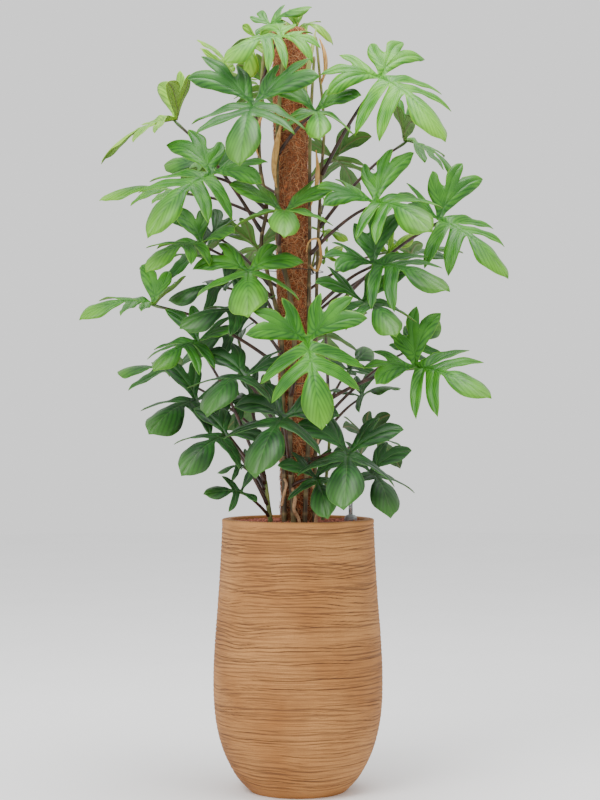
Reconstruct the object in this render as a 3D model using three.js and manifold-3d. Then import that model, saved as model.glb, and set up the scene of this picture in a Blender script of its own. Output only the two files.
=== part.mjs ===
// A potted philodendron pedatum that climbs a coir pole. Millimetres, +Z up, the front faces -Y.
// The origin is the middle of the planter's foot, on the surface that it stands on.

import * as THREE from 'three';
import { mergeVertices } from 'three/addons/utils/BufferGeometryUtils.js';
import Module from 'manifold-3d';

const wasm = await Module();
wasm.setup();

// Driving dimensions

const PLANTER_HEIGHT = 600;
const PLANTER_WALL = 21;
const PLANTER_FLOOR = 24;
const RIM_RADIUS = 169;
const RIM_ROUNDING = 2.5;
// Outer radius and height of the belly, from the flat foot up to below the rim.
const PLANTER_BELLY = [[107, 0], [134, 28], [163, 81], [179, 134], [186.5, 188], [188, 255], [184.5, 335],
  [178, 419], [172.5, 508], [169, 588]];
const GROOVES = 8;
const GROOVE_DEPTH = 1.4;
const INSIDE_HEIGHTS = [80, 180, 330, 555.5];
const PLANTER_SEGMENTS = 24;
const FILL_SEGMENTS = 12;

const GRANULE_TOP = 593;
const GRANULE_BOTTOM = 556;
const GRANULE_RELIEF = 2.2;

const POLE_RADIUS = 38.5;
const POLE_TOP = 1690;
const POLE_BOTTOM = 330;
const POLE_LEAN = -20;
const STAKE_RADIUS = 14;
const STAKE_BOTTOM = 60;

const STEM_FOOT = 525;
const STEM_SIDES = 5;
const PETIOLE_SIDES = 3;
const PETIOLE_STEPS = 3;
const BLADE_THICKNESS = 0.9;
// Where the petiole meets the blade, as a share of the way to the midrib's first vertex.
const JOINT_SHARE = 0.4;
const GAP = 0.35;

// Places are read off the front elevation as it is seen from here: [x, depth, height].
const SIGHT_DISTANCE = 4100;
const SIGHT_HEIGHT = 830;

const TAU = 2 * Math.PI;

function placed([x, depth, height]) {
  const spread = (SIGHT_DISTANCE + depth) / SIGHT_DISTANCE;
  return new THREE.Vector3(x * spread, depth, SIGHT_HEIGHT + (height - SIGHT_HEIGHT) * spread);
}

// The climbing stems: paths from the foot up, radius at the foot and at the top.
const STEMS = {
  left: { path: [[-30, -42, 560], [-31, -42, 700], [-33, -42, 830], [-38, -41, 1010], [-64, -30, 1130],
    [-82, -14, 1212], [-70, -12, 1290], [-84, -8, 1380], [-87, -6, 1450], [-82, -6, 1560], [-74, -6, 1655]],
    radii: [6, 4] },
  front: { path: [[-8, -48, 560], [-16, -47.5, 700], [-18, -47.5, 830], [-8, -48, 1010], [-20, -47.5, 1108],
    [-42, -43, 1200], [-46, -41, 1290], [-46, -41, 1450], [-34, -46, 1619]], radii: [6.5, 4.5] },
  right: { path: [[14, -47, 560], [19, -44, 700], [25, -42, 830], [23, -41, 1030], [26, -37, 1196],
    [26, -34, 1340], [28, -28, 1480], [36, -20, 1628]], radii: [5.5, 3.5] },
  outer: { path: [[36, -34, 560], [39, -30, 760], [40, -22, 900], [41, -19, 1085], [46, -8, 1250],
    [52, -4, 1368], [58, -2, 1474], [48, 0, 1590], [40, -2, 1672]], radii: [5, 3.2] },
  back: { path: [[8, 50, 560], [4, 50, 800], [-4, 50, 1100], [-10, 50, 1400], [-14, 50, 1560],
    [-22, 47, 1680]], radii: [6, 3.5] },
  low_back: { path: [[52, 42, 560], [62, 62, 680], [70, 84, 790], [66, 104, 900]], radii: [5, 3] },
  low_left: { path: [[-58, -30, 560], [-62, -33, 600], [-67, -37, 640], [-72, -40, 685]], radii: [7, 4] },
  side: { path: [[29, 18, 1150], [40, 26, 1200], [48, 30, 1250], [52, 32, 1300]], radii: [3, 2] },
};

// Thick tan roots that leave a stem and go down into the granules or hang along the pole.
const ROOTS = [
  { stem: 'front', radius: 4,
    path: [[-13, -49, 668], [-6, -62, 648], [-9, -66, 620], [2, -62, 598], [5, -62, 570]] },
  { stem: 'right', radius: 4.2,
    path: [[22, -44, 690], [40, -58, 660], [47, -60, 630], [40, -64, 600], [38, -64, 570]] },
  { stem: 'left', radius: 3, path: [[-31, -42, 690], [-26, -60, 676], [-32, -66, 650], [-36, -62, 628]] },
  { stem: 'outer', radius: 2.6, path: [[40, -26, 830], [47, -42, 812], [47, -47, 785], [42, -46, 762]] },
];

// Dried sheaths that still clasp the stems, from the clasped end to the free tip.
const SHEATHS = [
  { stem: 'front', path: [[-46, -41, 1330], [-52, -52, 1380], [-47, -58, 1430], [-38, -55, 1478]], width: 8 },
  { stem: 'left', path: [[-86, -7, 1400], [-94, -14, 1440], [-88, -20, 1475], [-78, -20, 1500]], width: 5.5 },
  { stem: 'right', path: [[27, -35, 1290], [40, -46, 1330], [44, -50, 1375], [40, -50, 1420]], width: 5 },
  { stem: 'right', path: [[25, -38, 1165], [42, -58, 1150], [52, -66, 1185], [44, -66, 1222], [26, -64, 1218],
    [18, -60, 1192]], width: 3.6 },
  { stem: 'outer', path: [[50, 0, 1560], [62, -8, 1600], [58, -12, 1640], [48, -12, 1668]], width: 5 },
  { stem: 'right', path: [[28, -27, 1500], [18, -40, 1545], [27, -42, 1620], [40, -34, 1690]], width: 6 },
];

const TIES = [
  { name: 'tie_top', centre: [-18, 3, 1152], reach: [74, 63], tilt: 3, colour: 0x23231f },
  { name: 'tie_middle', centre: [1, 2, 898], reach: [62, 66], tilt: -3, colour: 0x27402a },
  { name: 'tie_low', centre: [4, 6, 738], reach: [74, 70], tilt: 5, colour: 0x27402a },
];

// The blade: half its outline, in lengths of the midrib. s runs from the hub to the tip, t across.
const MIDRIB = [0, 0.13, 0.27, 0.42, 0.72, 1];
const REAR_RIB = [-0.05, 0.09];
const HUB_NOTCH = [-0.04, 0];
// The cleft that parts the front of the blade from its rear wings.
const CLEFT = [0.02, 0.045];
const SLIM_END = [[0.73, 0.168], [0.53, 0.12]];
const BROAD_END = [[0.7, 0.21], [0.47, 0.155]];
// Each form: its waist, the edge of its end lobe, and its lobes. Each lobe: the rib vertex that it springs
// from, its tip, its half width, and the notch behind it.
const FORMS = {
  full: { waist: [0.39, 0.045], end: SLIM_END, lobes: [
    { root: 2, tip: [0.6, 0.46], half: 0.07, notch: [0.18, 0.05] },
    { root: 1, tip: [0.36, 0.54], half: 0.068, notch: CLEFT },
    { root: 'rear', tip: [-0.04, 0.63], half: 0.085, notch: [-0.13, 0.36] },
    { root: 'rear', tip: [-0.28, 0.52], half: 0.075, notch: [-0.2, 0.21] },
    { root: 'rear', tip: [-0.4, 0.2], half: 0.062, notch: HUB_NOTCH },
  ] },
  medium: { waist: [0.39, 0.05], end: SLIM_END, lobes: [
    { root: 2, tip: [0.59, 0.45], half: 0.078, notch: [0.175, 0.055] },
    { root: 1, tip: [0.34, 0.53], half: 0.074, notch: CLEFT },
    { root: 'rear', tip: [-0.08, 0.6], half: 0.1, notch: [-0.17, 0.26] },
    { root: 'rear', tip: [-0.36, 0.34], half: 0.09, notch: HUB_NOTCH },
  ] },
  simple: { waist: [0.3, 0.05], end: BROAD_END, lobes: [
    { root: 1, tip: [0.45, 0.54], half: 0.085, notch: CLEFT },
    { root: 'rear', tip: [-0.08, 0.6], half: 0.1, notch: [-0.17, 0.26] },
    { root: 'rear', tip: [-0.36, 0.32], half: 0.085, notch: HUB_NOTCH },
  ] },
  juvenile: { waist: [0.26, 0.05], end: BROAD_END, lobes: [
    { root: 1, tip: [0.4, 0.5], half: 0.09, notch: CLEFT },
    { root: 'rear', tip: [-0.25, 0.45], half: 0.11, notch: HUB_NOTCH },
  ] },
};
const LOBE_BELLY = 0.6;
const LOBE_SICKLE = 0.035;
const FLUTTER = 0.09;
const FLUTTER_TURNS = 5;

// How a blade hangs, in lengths of its midrib: arch of the midrib, fold up from the midrib in front and in
// the rear wings, curl down of the lobes, lift of the wings behind the hub, rise of the petiole. A leaf
// below may state its own.
const HANG = { arch: 0.13, fold: -0.1, wing: 0.75, curl: 0.5, lift: 0.5, rise: 0.07 };

// One row for each leaf: hub, tip, the way its upper side faces, and where its petiole leaves the stem.
function leaf(name, form, hub, tip, facing, stem, from, own = {}) {
  return { ...HANG, name, form, hub, tip, facing, stem, from, ...own };
}

const LEAVES = [
  leaf('leaf_01', 'full', [-37, -100, 1672], [-165, -165, 1612], [-0.15, -0.65, 0.75], 'left', 1560,
    { wing: 0.3, lift: 0.2, curl: 0.9 }),
  leaf('leaf_02', 'simple', [-156, 90, 1585], [-218, 140, 1672], [0.7, -0.35, 0.6], 'left', 1470,
    { wing: 0.4, curl: 0.2 }),
  leaf('leaf_03', 'full', [-98, -150, 1520], [-131, -325, 1396], [0, -0.3, 0.95], 'left', 1430,
    { wing: 0.65, curl: 0.35, lift: 0.4 }),
  leaf('leaf_04', 'medium', [38, -95, 1503], [48, -238, 1445], [0.1, -0.55, 0.8], 'front', 1400,
    { lift: 0.6, curl: 0.7 }),
  leaf('leaf_05', 'full', [182, -70, 1581], [327, -160, 1432], [0.2, -0.8, 0.55], 'outer', 1361,
    { wing: 0.45, lift: 0.25, curl: 0.8 }),
  leaf('leaf_06', 'medium', [236, 60, 1441], [375, 80, 1339], [0.5, -0.3, 0.8], 'outer', 1240,
    { wing: 0.7, curl: 0.25 }),
  leaf('leaf_07', 'full', [171, -130, 1301], [300, -270, 1230], [0.05, -0.8, 0.6], 'right', 1180),
  leaf('leaf_08', 'full', [312, -25, 1265], [464, -95, 1125], [0.3, -0.75, 0.6], 'outer', 1014),
  leaf('leaf_09', 'full', [167, -140, 1165], [338, -230, 1090], [0.1, -0.75, 0.65], 'right', 1040),
  leaf('leaf_10', 'simple', [200, 80, 1192], [262, 60, 1228], [0, -0.9, 0.3], 'back', 1090),
  leaf('leaf_11', 'simple', [253, 150, 1181], [367, 200, 1199], [0.1, -0.15, 1], 'back', 1010),
  leaf('leaf_12', 'medium', [144, -130, 1079], [218, -280, 999], [0.1, -0.5, 0.85], 'right', 980),
  leaf('leaf_13', 'full', [20, -230, 996], [53, -290, 792], [0, -0.95, 0.3], 'front', 870),
  leaf('leaf_14', 'full', [260, -110, 936], [431, -205, 863], [0.1, -0.85, 0.5], 'outer', 840),
  leaf('leaf_15', 'simple', [249, 60, 974], [316, 100, 1037], [0.2, -0.7, 0.6], 'outer', 800),
  leaf('leaf_16', 'simple', [142, 40, 870], [225, -60, 880], [0.1, -0.6, 0.8], 'outer', 760),
  leaf('leaf_17', 'simple', [112, 150, 928], [165, 225, 978], [0.1, -0.7, 0.6], 'low_back', 850),
  leaf('leaf_18', 'simple', [111, -150, 744], [102, -310, 628], [0.05, -0.5, 0.85], 'right', 720),
  leaf('leaf_19', 'simple', [40, -90, 690], [66, -200, 606], [0, -0.7, 0.7], 'front', 670),
  leaf('leaf_20', 'simple', [160, -25, 702], [209, -150, 612], [0.2, -0.6, 0.8], 'outer', 640),
  leaf('leaf_21', 'simple', [-31, -168, 823], [-96, -320, 699], [0, -0.4, 0.9], 'front', 700,
    { wing: 0.3 }),
  leaf('leaf_22', 'simple', [-191, 55, 1230], [-300, -5, 1265], [-0.1, -0.6, 0.8], 'left', 1110),
  leaf('leaf_23', 'medium', [-216, -80, 1210], [-340, -180, 1159], [-0.1, -0.5, 0.85], 'left', 1080),
  leaf('leaf_24', 'simple', [-207, 90, 1179], [-353, 140, 1152], [-0.2, -0.3, 0.9], 'back', 1080),
  leaf('leaf_25', 'simple', [-111, -130, 1148], [-111, -300, 1048], [0, -0.4, 0.9], 'left', 1020,
    { wing: 0.3 }),
  leaf('leaf_26', 'medium', [-320, -20, 1074], [-487, -80, 1041], [-0.15, -0.3, 0.93], 'left', 930,
    { fold: 0.05, curl: 0.3 }),
  leaf('leaf_27', 'simple', [-118, -110, 1058], [-264, -160, 1024], [-0.1, -0.5, 0.85], 'left', 960),
  leaf('leaf_28', 'medium', [-222, -85, 992], [-320, -190, 915], [-0.1, -0.6, 0.8], 'low_left', 677),
  leaf('leaf_29', 'simple', [-278, 110, 919], [-400, 190, 914], [-0.1, -0.2, 0.98], 'low_back', 640),
  leaf('leaf_30', 'simple', [-226, 5, 861], [-332, -120, 779], [-0.1, -0.7, 0.7], 'low_left', 664),
  leaf('leaf_31', 'simple', [-118, -138, 914], [-204, -288, 841], [-0.1, -0.5, 0.85], 'left', 765,
    { wing: 0.6 }),
  leaf('leaf_32', 'simple', [-160, -98, 783], [-260, -208, 701], [-0.1, -0.7, 0.7], 'low_left', 630,
    { wing: 0.5, lift: 0.3 }),
  leaf('leaf_33', 'full', [-191, -110, 1365], [-338, -215, 1236], [-0.1, -0.7, 0.7], 'left', 1280,
    { wing: 0.5, lift: 0.2 }),
  leaf('leaf_34', 'medium', [-250, 50, 1322], [-442, 60, 1301], [-0.1, -0.15, 1], 'back', 1220),
  leaf('leaf_35', 'simple', [-184, 210, 1370], [-300, 260, 1392], [-0.1, -0.6, 0.7], 'back', 1300),
  leaf('leaf_36', 'medium', [-269, -10, 1488], [-433, -20, 1380], [-0.5, -0.25, 0.8], 'left', 1235,
    { fold: 0.1, wing: 0.8, curl: 0.25 }),
  leaf('leaf_37', 'medium', [-31, -120, 1276], [-31, -310, 1240], [0, -0.12, 1], 'front', 1200),
  leaf('leaf_38', 'simple', [-130, 60, 1010], [-245, 75, 965], [-0.1, -0.6, 0.8], 'low_left', 615),
  leaf('leaf_39', 'simple', [-160, 50, 1115], [-285, 70, 1075], [-0.1, -0.6, 0.8], 'left', 1040),
  leaf('leaf_40', 'simple', [-105, -5, 868], [-210, 20, 810], [-0.1, -0.6, 0.8], 'low_left', 684),
];

// The leafy shoots, each grown as one piece with its own stem.
const SHOOT_LEAVES = {
  climber_back: [
    leaf('', 'simple', [-62, 64, 1698], [32, 52, 1737], [-0.2, -0.75, 0.6], 'back', 1665, { wing: 0.3 }),
    leaf('', 'juvenile', [-90, 50, 1668], [-108, 62, 1575], [-0.5, -0.8, 0.2], 'back', 1640, { wing: 0.3 }),
    leaf('', 'simple', [-4, 76, 1688], [80, 62, 1660], [0.1, -0.6, 0.8], 'back', 1620, { arch: 0.3 }),
    leaf('', 'medium', [-60, 200, 1560], [-110, 310, 1470], [-0.2, 0.6, 0.8], 'back', 1450),
    leaf('', 'medium', [80, 220, 1400], [130, 350, 1320], [0.2, 0.6, 0.8], 'back', 1290),
    leaf('', 'simple', [-90, 230, 1200], [-130, 370, 1120], [-0.2, 0.6, 0.8], 'back', 1080),
  ],
  low_shoot_back: [
    leaf('', 'simple', [60, 260, 1010], [70, 400, 930], [0.1, 0.6, 0.8], 'low_back', 860),
    leaf('', 'simple', [-70, 190, 850], [-160, 290, 790], [-0.2, 0.6, 0.8], 'low_back', 780),
    leaf('', 'simple', [150, 190, 780], [230, 260, 720], [0.3, 0.5, 0.8], 'low_back', 700),
  ],
  low_shoot_left: [
    leaf('', 'juvenile', [-127, -90, 659], [-211, -120, 654], [-0.2, -0.9, 0.4], 'low_left', 605),
    leaf('', 'simple', [-120, 8, 716], [-180, 25, 700], [-0.1, -0.6, 0.8], 'low_left', 652),
  ],
  side_shoot: [
    leaf('', 'juvenile', [56, 20, 1237], [112, 0, 1219], [0, -0.6, 0.8], 'side', 1200),
    leaf('', 'juvenile', [60, 60, 1306], [98, 80, 1302], [0, -0.6, 0.8], 'side', 1280),
    leaf('', 'juvenile', [60, 60, 1180], [100, 60, 1205], [0.1, -0.8, 0.5], 'side', 1160),
  ],
};
const SHOOT_STEMS = {
  climber_back: 'back', low_shoot_back: 'low_back', low_shoot_left: 'low_left', side_shoot: 'side',
};

// Solids

function solidOf(geometry) {
  geometry.deleteAttribute('normal');
  geometry.deleteAttribute('uv');
  const merged = mergeVertices(geometry, 1e-3);
  const corners = merged.getIndex().array;
  const kept = [];
  for (let i = 0; i < corners.length; i += 3) {
    const [a, b, c] = [corners[i], corners[i + 1], corners[i + 2]];
    if (a !== b && b !== c && c !== a) kept.push(a, b, c);
  }
  return solidOfMesh(Array.from(merged.getAttribute('position').array), kept);
}

function solidOfMesh(numbers, corners) {
  const point = (i) => new THREE.Vector3(...numbers.slice(3 * i, 3 * i + 3));
  let volume = 0;
  for (let i = 0; i < corners.length; i += 3) {
    volume += point(corners[i]).dot(point(corners[i + 1]).cross(point(corners[i + 2])));
  }
  const outward = volume > 0 ? corners : corners.slice().reverse();
  return new wasm.Manifold(new wasm.Mesh({
    numProp: 3, vertProperties: new Float32Array(numbers), triVerts: new Uint32Array(outward),
  }));
}

function geometryOf(solid) {
  const mesh = solid.getMesh();
  const geometry = new THREE.BufferGeometry();
  geometry.setAttribute('position', new THREE.BufferAttribute(Float32Array.from(mesh.vertProperties), 3));
  geometry.setIndex(new THREE.BufferAttribute(Uint32Array.from(mesh.triVerts), 1));
  geometry.computeVertexNormals();
  return geometry;
}

// A turned body about +Z through (x, y). Its profile of [radius, height] closes on itself or on the axis.
function turned(profile, segments, x = 0, y = 0) {
  const outline = profile.map(([radius, height]) => new THREE.Vector2(radius, height));
  const geometry = new THREE.LatheGeometry(outline, segments);
  geometry.rotateX(Math.PI / 2);
  geometry.translate(x, y, 0);
  return solidOf(geometry);
}

// A tapering closed tube along a smooth curve.
function limb(curve, radiusAt, sides, steps) {
  const frames = curve.computeFrenetFrames(steps, false);
  const numbers = [];
  for (let step = 0; step <= steps; step += 1) {
    const centre = curve.getPointAt(step / steps);
    for (let side = 0; side < sides; side += 1) {
      const turn = (TAU * side) / sides;
      const corner = centre.clone()
        .addScaledVector(frames.normals[step], radiusAt(step / steps) * Math.cos(turn))
        .addScaledVector(frames.binormals[step], radiusAt(step / steps) * Math.sin(turn));
      numbers.push(corner.x, corner.y, corner.z);
    }
  }
  const corners = [];
  for (let step = 0; step < steps; step += 1) {
    for (let side = 0; side < sides; side += 1) {
      const next = (side + 1) % sides;
      const [a, b] = [step * sides + side, step * sides + next];
      corners.push(a, b, b + sides, a, b + sides, a + sides);
    }
  }
  for (let side = 1; side < sides - 1; side += 1) {
    corners.push(0, side + 1, side);
    const last = steps * sides;
    corners.push(last, last + side, last + side + 1);
  }
  return solidOfMesh(numbers, corners);
}

function curveThrough(path) {
  return new THREE.CatmullRomCurve3(path.map(placed), false, 'centripetal');
}

// The planter, its fill and the pole

function bellyRadius(height) {
  const curve = new THREE.SplineCurve(PLANTER_BELLY.map(([radius, z]) => new THREE.Vector2(radius, z)));
  let [low, high] = [0, 1];
  for (let halving = 0; halving < 30; halving += 1) {
    const middle = (low + high) / 2;
    if (curve.getPoint(middle).y < height) low = middle;
    else high = middle;
  }
  return curve.getPoint(low).x;
}

// Hand-drawn grooves run round the belly at uneven heights.
function grooveHeight(index) {
  const even = 16 + ((PLANTER_HEIGHT - 40) * index) / (GROOVES - 1);
  return even + 5 * Math.sin(index * 2.3);
}

function planterSolid() {
  const outside = [[0, 0], [107, 0]];
  for (let index = 0; index < GROOVES; index += 1) {
    const height = grooveHeight(index);
    const crest = height + (grooveHeight(index + 1) - height) * 0.45;
    outside.push([bellyRadius(height) - GROOVE_DEPTH, height]);
    if (index < GROOVES - 1) outside.push([bellyRadius(crest), crest]);
  }
  const rim = [
    [RIM_RADIUS, PLANTER_HEIGHT - RIM_ROUNDING],
    [RIM_RADIUS - RIM_ROUNDING, PLANTER_HEIGHT],
    [RIM_RADIUS - PLANTER_WALL + RIM_ROUNDING, PLANTER_HEIGHT],
    [RIM_RADIUS - PLANTER_WALL, PLANTER_HEIGHT - RIM_ROUNDING],
  ];
  return turned([...outside, ...rim, ...insideProfile(0).reverse()], PLANTER_SEGMENTS);
}

function insideRadius(height) {
  return bellyRadius(height) - PLANTER_WALL - GROOVE_DEPTH;
}

// The inside of the planter's wall, drawn in by a gap, from the axis up.
function insideProfile(gap) {
  const wall = INSIDE_HEIGHTS.map((height) => [insideRadius(height) - gap, height]);
  return [[0, PLANTER_FLOOR + gap], [insideRadius(PLANTER_FLOOR) - 10 - gap, PLANTER_FLOOR + gap], ...wall];
}

function poleX(height) {
  return (POLE_LEAN * (height - PLANTER_HEIGHT)) / (POLE_TOP - PLANTER_HEIGHT);
}

function poleCurve(bottom, top) {
  const onAxis = (height) => new THREE.Vector3(poleX(height), 0, height);
  return new THREE.LineCurve3(onAxis(bottom), onAxis(top));
}

function stakeSolid(extra) {
  return limb(poleCurve(STAKE_BOTTOM - extra, POLE_TOP - 22 + extra), () => STAKE_RADIUS + extra, 10, 1);
}

// The fibre sleeve: lightly waved in girth, rounded over at the top, closed there over the stake.
function sleeveSolid(extra) {
  const girth = (share) => {
    if (share > 0.995) return POLE_RADIUS * 0.72;
    return POLE_RADIUS - 0.6 + 0.6 * Math.sin(share * 60) + extra;
  };
  const outer = limb(poleCurve(POLE_BOTTOM - extra, POLE_TOP), girth, 12, 8);
  return extra > 0 ? outer : outer.subtract(stakeSolid(GAP));
}

function mediumSolid(holes) {
  const profile = insideProfile(GAP);
  const top = profile[profile.length - 1][1];
  return holes.reduce((solid, hole) => solid.subtract(hole), turned([...profile, [0, top]], FILL_SEGMENTS));
}

// The granules lie in low uneven heaps, a little higher round the pole.
function granuleSolid(holes) {
  const radius = RIM_RADIUS - PLANTER_WALL - GAP;
  const rings = [radius, radius * 0.85, radius * 0.7, radius * 0.5, radius * 0.3];
  const profile = [[0, GRANULE_BOTTOM], [radius, GRANULE_BOTTOM],
    ...rings.map((r) => [r, GRANULE_TOP]), [0, GRANULE_TOP]];
  const geometry = new THREE.LatheGeometry(profile.map(([r, z]) => new THREE.Vector2(r, z)),
    FILL_SEGMENTS);
  geometry.rotateX(Math.PI / 2);
  const places = geometry.getAttribute('position');
  for (let i = 0; i < places.count; i += 1) {
    const [x, y, z] = [places.getX(i), places.getY(i), places.getZ(i)];
    const heap = Math.sin(x * 0.19) * Math.sin(y * 0.23 + 1) + 0.6 * Math.sin(x * 0.41 + y * 0.37);
    if (z > GRANULE_BOTTOM + 1) places.setZ(i, z + GRANULE_RELIEF * heap);
  }
  return holes.reduce((solid, hole) => solid.subtract(hole), solidOf(geometry));
}

// Stems

function stemCurve(name) {
  const [foot, ...rest] = STEMS[name].path;
  const low = name === 'side' ? [] : [[foot[0], foot[1], STEM_FOOT]];
  return curveThrough([...low, foot, ...rest]);
}

function stemRadius(name, share) {
  const [foot, top] = STEMS[name].radii;
  return foot + (top - foot) * share;
}

// A stem is ringed where leaves have left it.
function stemSolid(name, extra = 0) {
  const steps = name === 'side' || name.startsWith('low') ? 4 : 12;
  const ring = (share) => (Math.round(share * steps) % 2 ? 0.5 : 0);
  return limb(stemCurve(name), (share) => stemRadius(name, share) + ring(share) + extra, STEM_SIDES, steps);
}

function rootSolid({ path, radius }, extra = 0) {
  return limb(curveThrough(path), () => radius + extra, 4, 6);
}

function sheathSolid({ path, width }) {
  const girth = (share) => 0.8 + 0.8 * width * Math.sin(Math.PI * (0.12 + 0.8 * share)) ** 1.5;
  return limb(curveThrough(path), girth, 3, 2 * path.length - 2);
}

function climberSolid(name) {
  const grown = [...ROOTS.filter((root) => root.stem === name).map((root) => rootSolid(root)),
    ...SHEATHS.filter((sheath) => sheath.stem === name).map(sheathSolid)];
  return grown.reduce((solid, piece) => solid.add(piece), stemSolid(name));
}

function stemPointAt(name, height) {
  const curve = stemCurve(name);
  let [low, high] = [0, 1];
  for (let halving = 0; halving < 30; halving += 1) {
    const middle = (low + high) / 2;
    if (curve.getPointAt(middle).z < height) low = middle;
    else high = middle;
  }
  return { point: curve.getPointAt(low), radius: stemRadius(name, low) };
}

// Leaves

// The flat blade: its vertices [s, t] and its triangles.
function flatBlade(form) {
  const { waist, end, lobes } = FORMS[form];
  const points = MIDRIB.map((s) => [s, 0]);
  const hubNotch = points.push(HUB_NOTCH) - 1;
  const triangles = [];
  for (const side of [1, -1]) {
    const add = ([s, t]) => points.push([s, side * t]) - 1;
    const face = (a, b, c) => triangles.push(side > 0 ? [a, b, c] : [a, c, b]);
    const [outer, inner] = end.map(add);
    const rear = add(REAR_RIB);
    let notch = add(waist);
    let root = 3;
    face(5, outer, 4);
    face(outer, inner, 4);
    face(inner, notch, 3);
    face(inner, 3, 4);
    for (const lobe of lobes) {
      const from = lobe.root === 'rear' ? rear : lobe.root;
      if (from === rear && root !== rear) {
        face(root, notch, 0);
        root = 0;
      }
      if (from !== root) face(root, notch, from);
      root = from;
      const start = new THREE.Vector2(points[from][0], Math.abs(points[from][1]));
      const tip = new THREE.Vector2(...lobe.tip);
      const along = tip.clone().sub(start).normalize();
      const across = new THREE.Vector2(along.y, -along.x);
      const belly = start.clone().lerp(tip, LOBE_BELLY).addScaledVector(across, -LOBE_SICKLE);
      const edge = (reach) => add(belly.clone().addScaledVector(across, reach).toArray());
      const [front, back, middle, point] = [edge(lobe.half), edge(-lobe.half), edge(0), add(lobe.tip)];
      const next = lobe.notch === HUB_NOTCH ? hubNotch : add(lobe.notch);
      face(notch, front, middle);
      face(front, point, middle);
      face(point, back, middle);
      face(back, next, middle);
      face(from, middle, next);
      face(from, notch, middle);
      notch = next;
    }
    face(root, notch, 0);
  }
  return { points, triangles };
}

// The height of the bent blade over its flat one, in lengths of the midrib.
function bladeHeight(s, t, row, phase) {
  const along = s > 0 ? 4 * row.arch * s * (1 - s) : -row.lift * s - row.curl * s * s;
  const rearShare = THREE.MathUtils.smoothstep(-s, -0.2, 0.05);
  const across = (row.fold + (row.wing - row.fold) * rearShare) * Math.abs(t) - row.curl * t * t;
  const wave = Math.sin(FLUTTER_TURNS * Math.atan2(t, s + 0.1) + phase);
  return along + across + FLUTTER * (s * s + t * t) * wave;
}

function bladeFrame(row) {
  const hub = placed(row.hub);
  const midrib = placed(row.tip).sub(hub);
  const length = midrib.length();
  midrib.normalize();
  const normal = new THREE.Vector3(...row.facing);
  normal.addScaledVector(midrib, -normal.dot(midrib)).normalize();
  const across = new THREE.Vector3().crossVectors(midrib, normal);
  return { hub, midrib, normal, across, length };
}

function bladeSolid(row) {
  const { hub, midrib, normal, across, length } = bladeFrame(row);
  const phase = (row.hub[0] + row.hub[2]) * 0.1;
  const bent = (s, t) => hub.clone()
    .addScaledVector(midrib, s * length)
    .addScaledVector(across, t * length)
    .addScaledVector(normal, bladeHeight(s, t, row, phase) * length);
  const { points, triangles } = flatBlade(row.form);
  const upper = points.map(([s, t]) => bent(s, t));
  const normals = upper.map(() => new THREE.Vector3());
  const edges = new Map();
  for (const [a, b, c] of triangles) {
    const slope = upper[b].clone().sub(upper[a]).cross(upper[c].clone().sub(upper[a]));
    for (const corner of [a, b, c]) normals[corner].add(slope);
    for (const [from, to] of [[a, b], [b, c], [c, a]]) {
      if (!edges.delete(`${to} ${from}`)) edges.set(`${from} ${to}`, [from, to]);
    }
  }
  const under = (place, i) => place.clone().addScaledVector(normals[i].normalize(), -BLADE_THICKNESS);
  const lower = upper.map(under);
  const count = upper.length;
  const corners = [];
  for (const [a, b, c] of triangles) corners.push(a, b, c, a + count, c + count, b + count);
  for (const [from, to] of edges.values()) {
    corners.push(to, from, from + count, to, from + count, to + count);
  }
  return solidOfMesh([...upper, ...lower].flatMap((place) => place.toArray()), corners);
}

// The petiole leaves the stem's side, arches a little, and meets the blade from below.
function petioleSolid(row, fused) {
  const { hub, midrib, normal, length } = bladeFrame(row);
  const { point, radius } = stemPointAt(row.stem, row.from);
  const joint = bladeHeight(MIDRIB[1], 0, row, 0) * JOINT_SHARE * length;
  const end = hub.clone()
    .addScaledVector(midrib, MIDRIB[1] * JOINT_SHARE * length)
    .addScaledVector(normal, joint - BLADE_THICKNESS / 2);
  const girth = 2.1 + length * 0.005;
  const outward = end.clone().sub(point).setZ(0).normalize();
  const start = fused ? point : point.clone().addScaledVector(outward, radius + 1.25 * girth + 1 + GAP);
  const chord = end.clone().sub(start);
  const up = new THREE.Vector3(0, 0, row.rise * chord.length());
  const bend = (share, lift) => start.clone().addScaledVector(chord, share).addScaledVector(up, lift);
  const past = end.clone().addScaledVector(end.clone().sub(bend(0.68, 0.9)).normalize(), BLADE_THICKNESS);
  const places = [start, bend(0.3, 0.8), bend(0.68, 0.9), past];
  const curve = new THREE.CatmullRomCurve3(places, false, 'centripetal');
  return limb(curve, (share) => girth * (1.25 - 0.45 * share), PETIOLE_SIDES, PETIOLE_STEPS);
}

function leafSolid(row, fused = false) {
  return bladeSolid(row).add(petioleSolid(row, fused));
}

function shootSolid(name) {
  const stem = stemSolid(SHOOT_STEMS[name]);
  return SHOOT_LEAVES[name].reduce((solid, row) => solid.add(leafSolid(row, true)), stem);
}

// The water gauge stands in the granules at the right.

const GAUGE = { x: 118, y: 34, radius: 5, wall: 1.1, bottom: 260, top: 668, collar: 14, collarHeight: 16 };
const COLLAR_SUNK = 2;
const FLOAT_HEAD = 614;

function gaugeTube(extra = 0) {
  const { x, y, radius, wall, bottom, top } = GAUGE;
  if (extra > 0) {
    const wide = radius + extra;
    return turned([[0, bottom - extra], [wide, bottom - extra], [wide, top], [0, top]], 10, x, y);
  }
  return turned([[0, top], [radius - 1, top], [radius, top - 1.5], [radius, bottom], [radius - wall, bottom],
    [radius - wall, top - 2.5], [0, top - 2.5]], 10, x, y);
}

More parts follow.
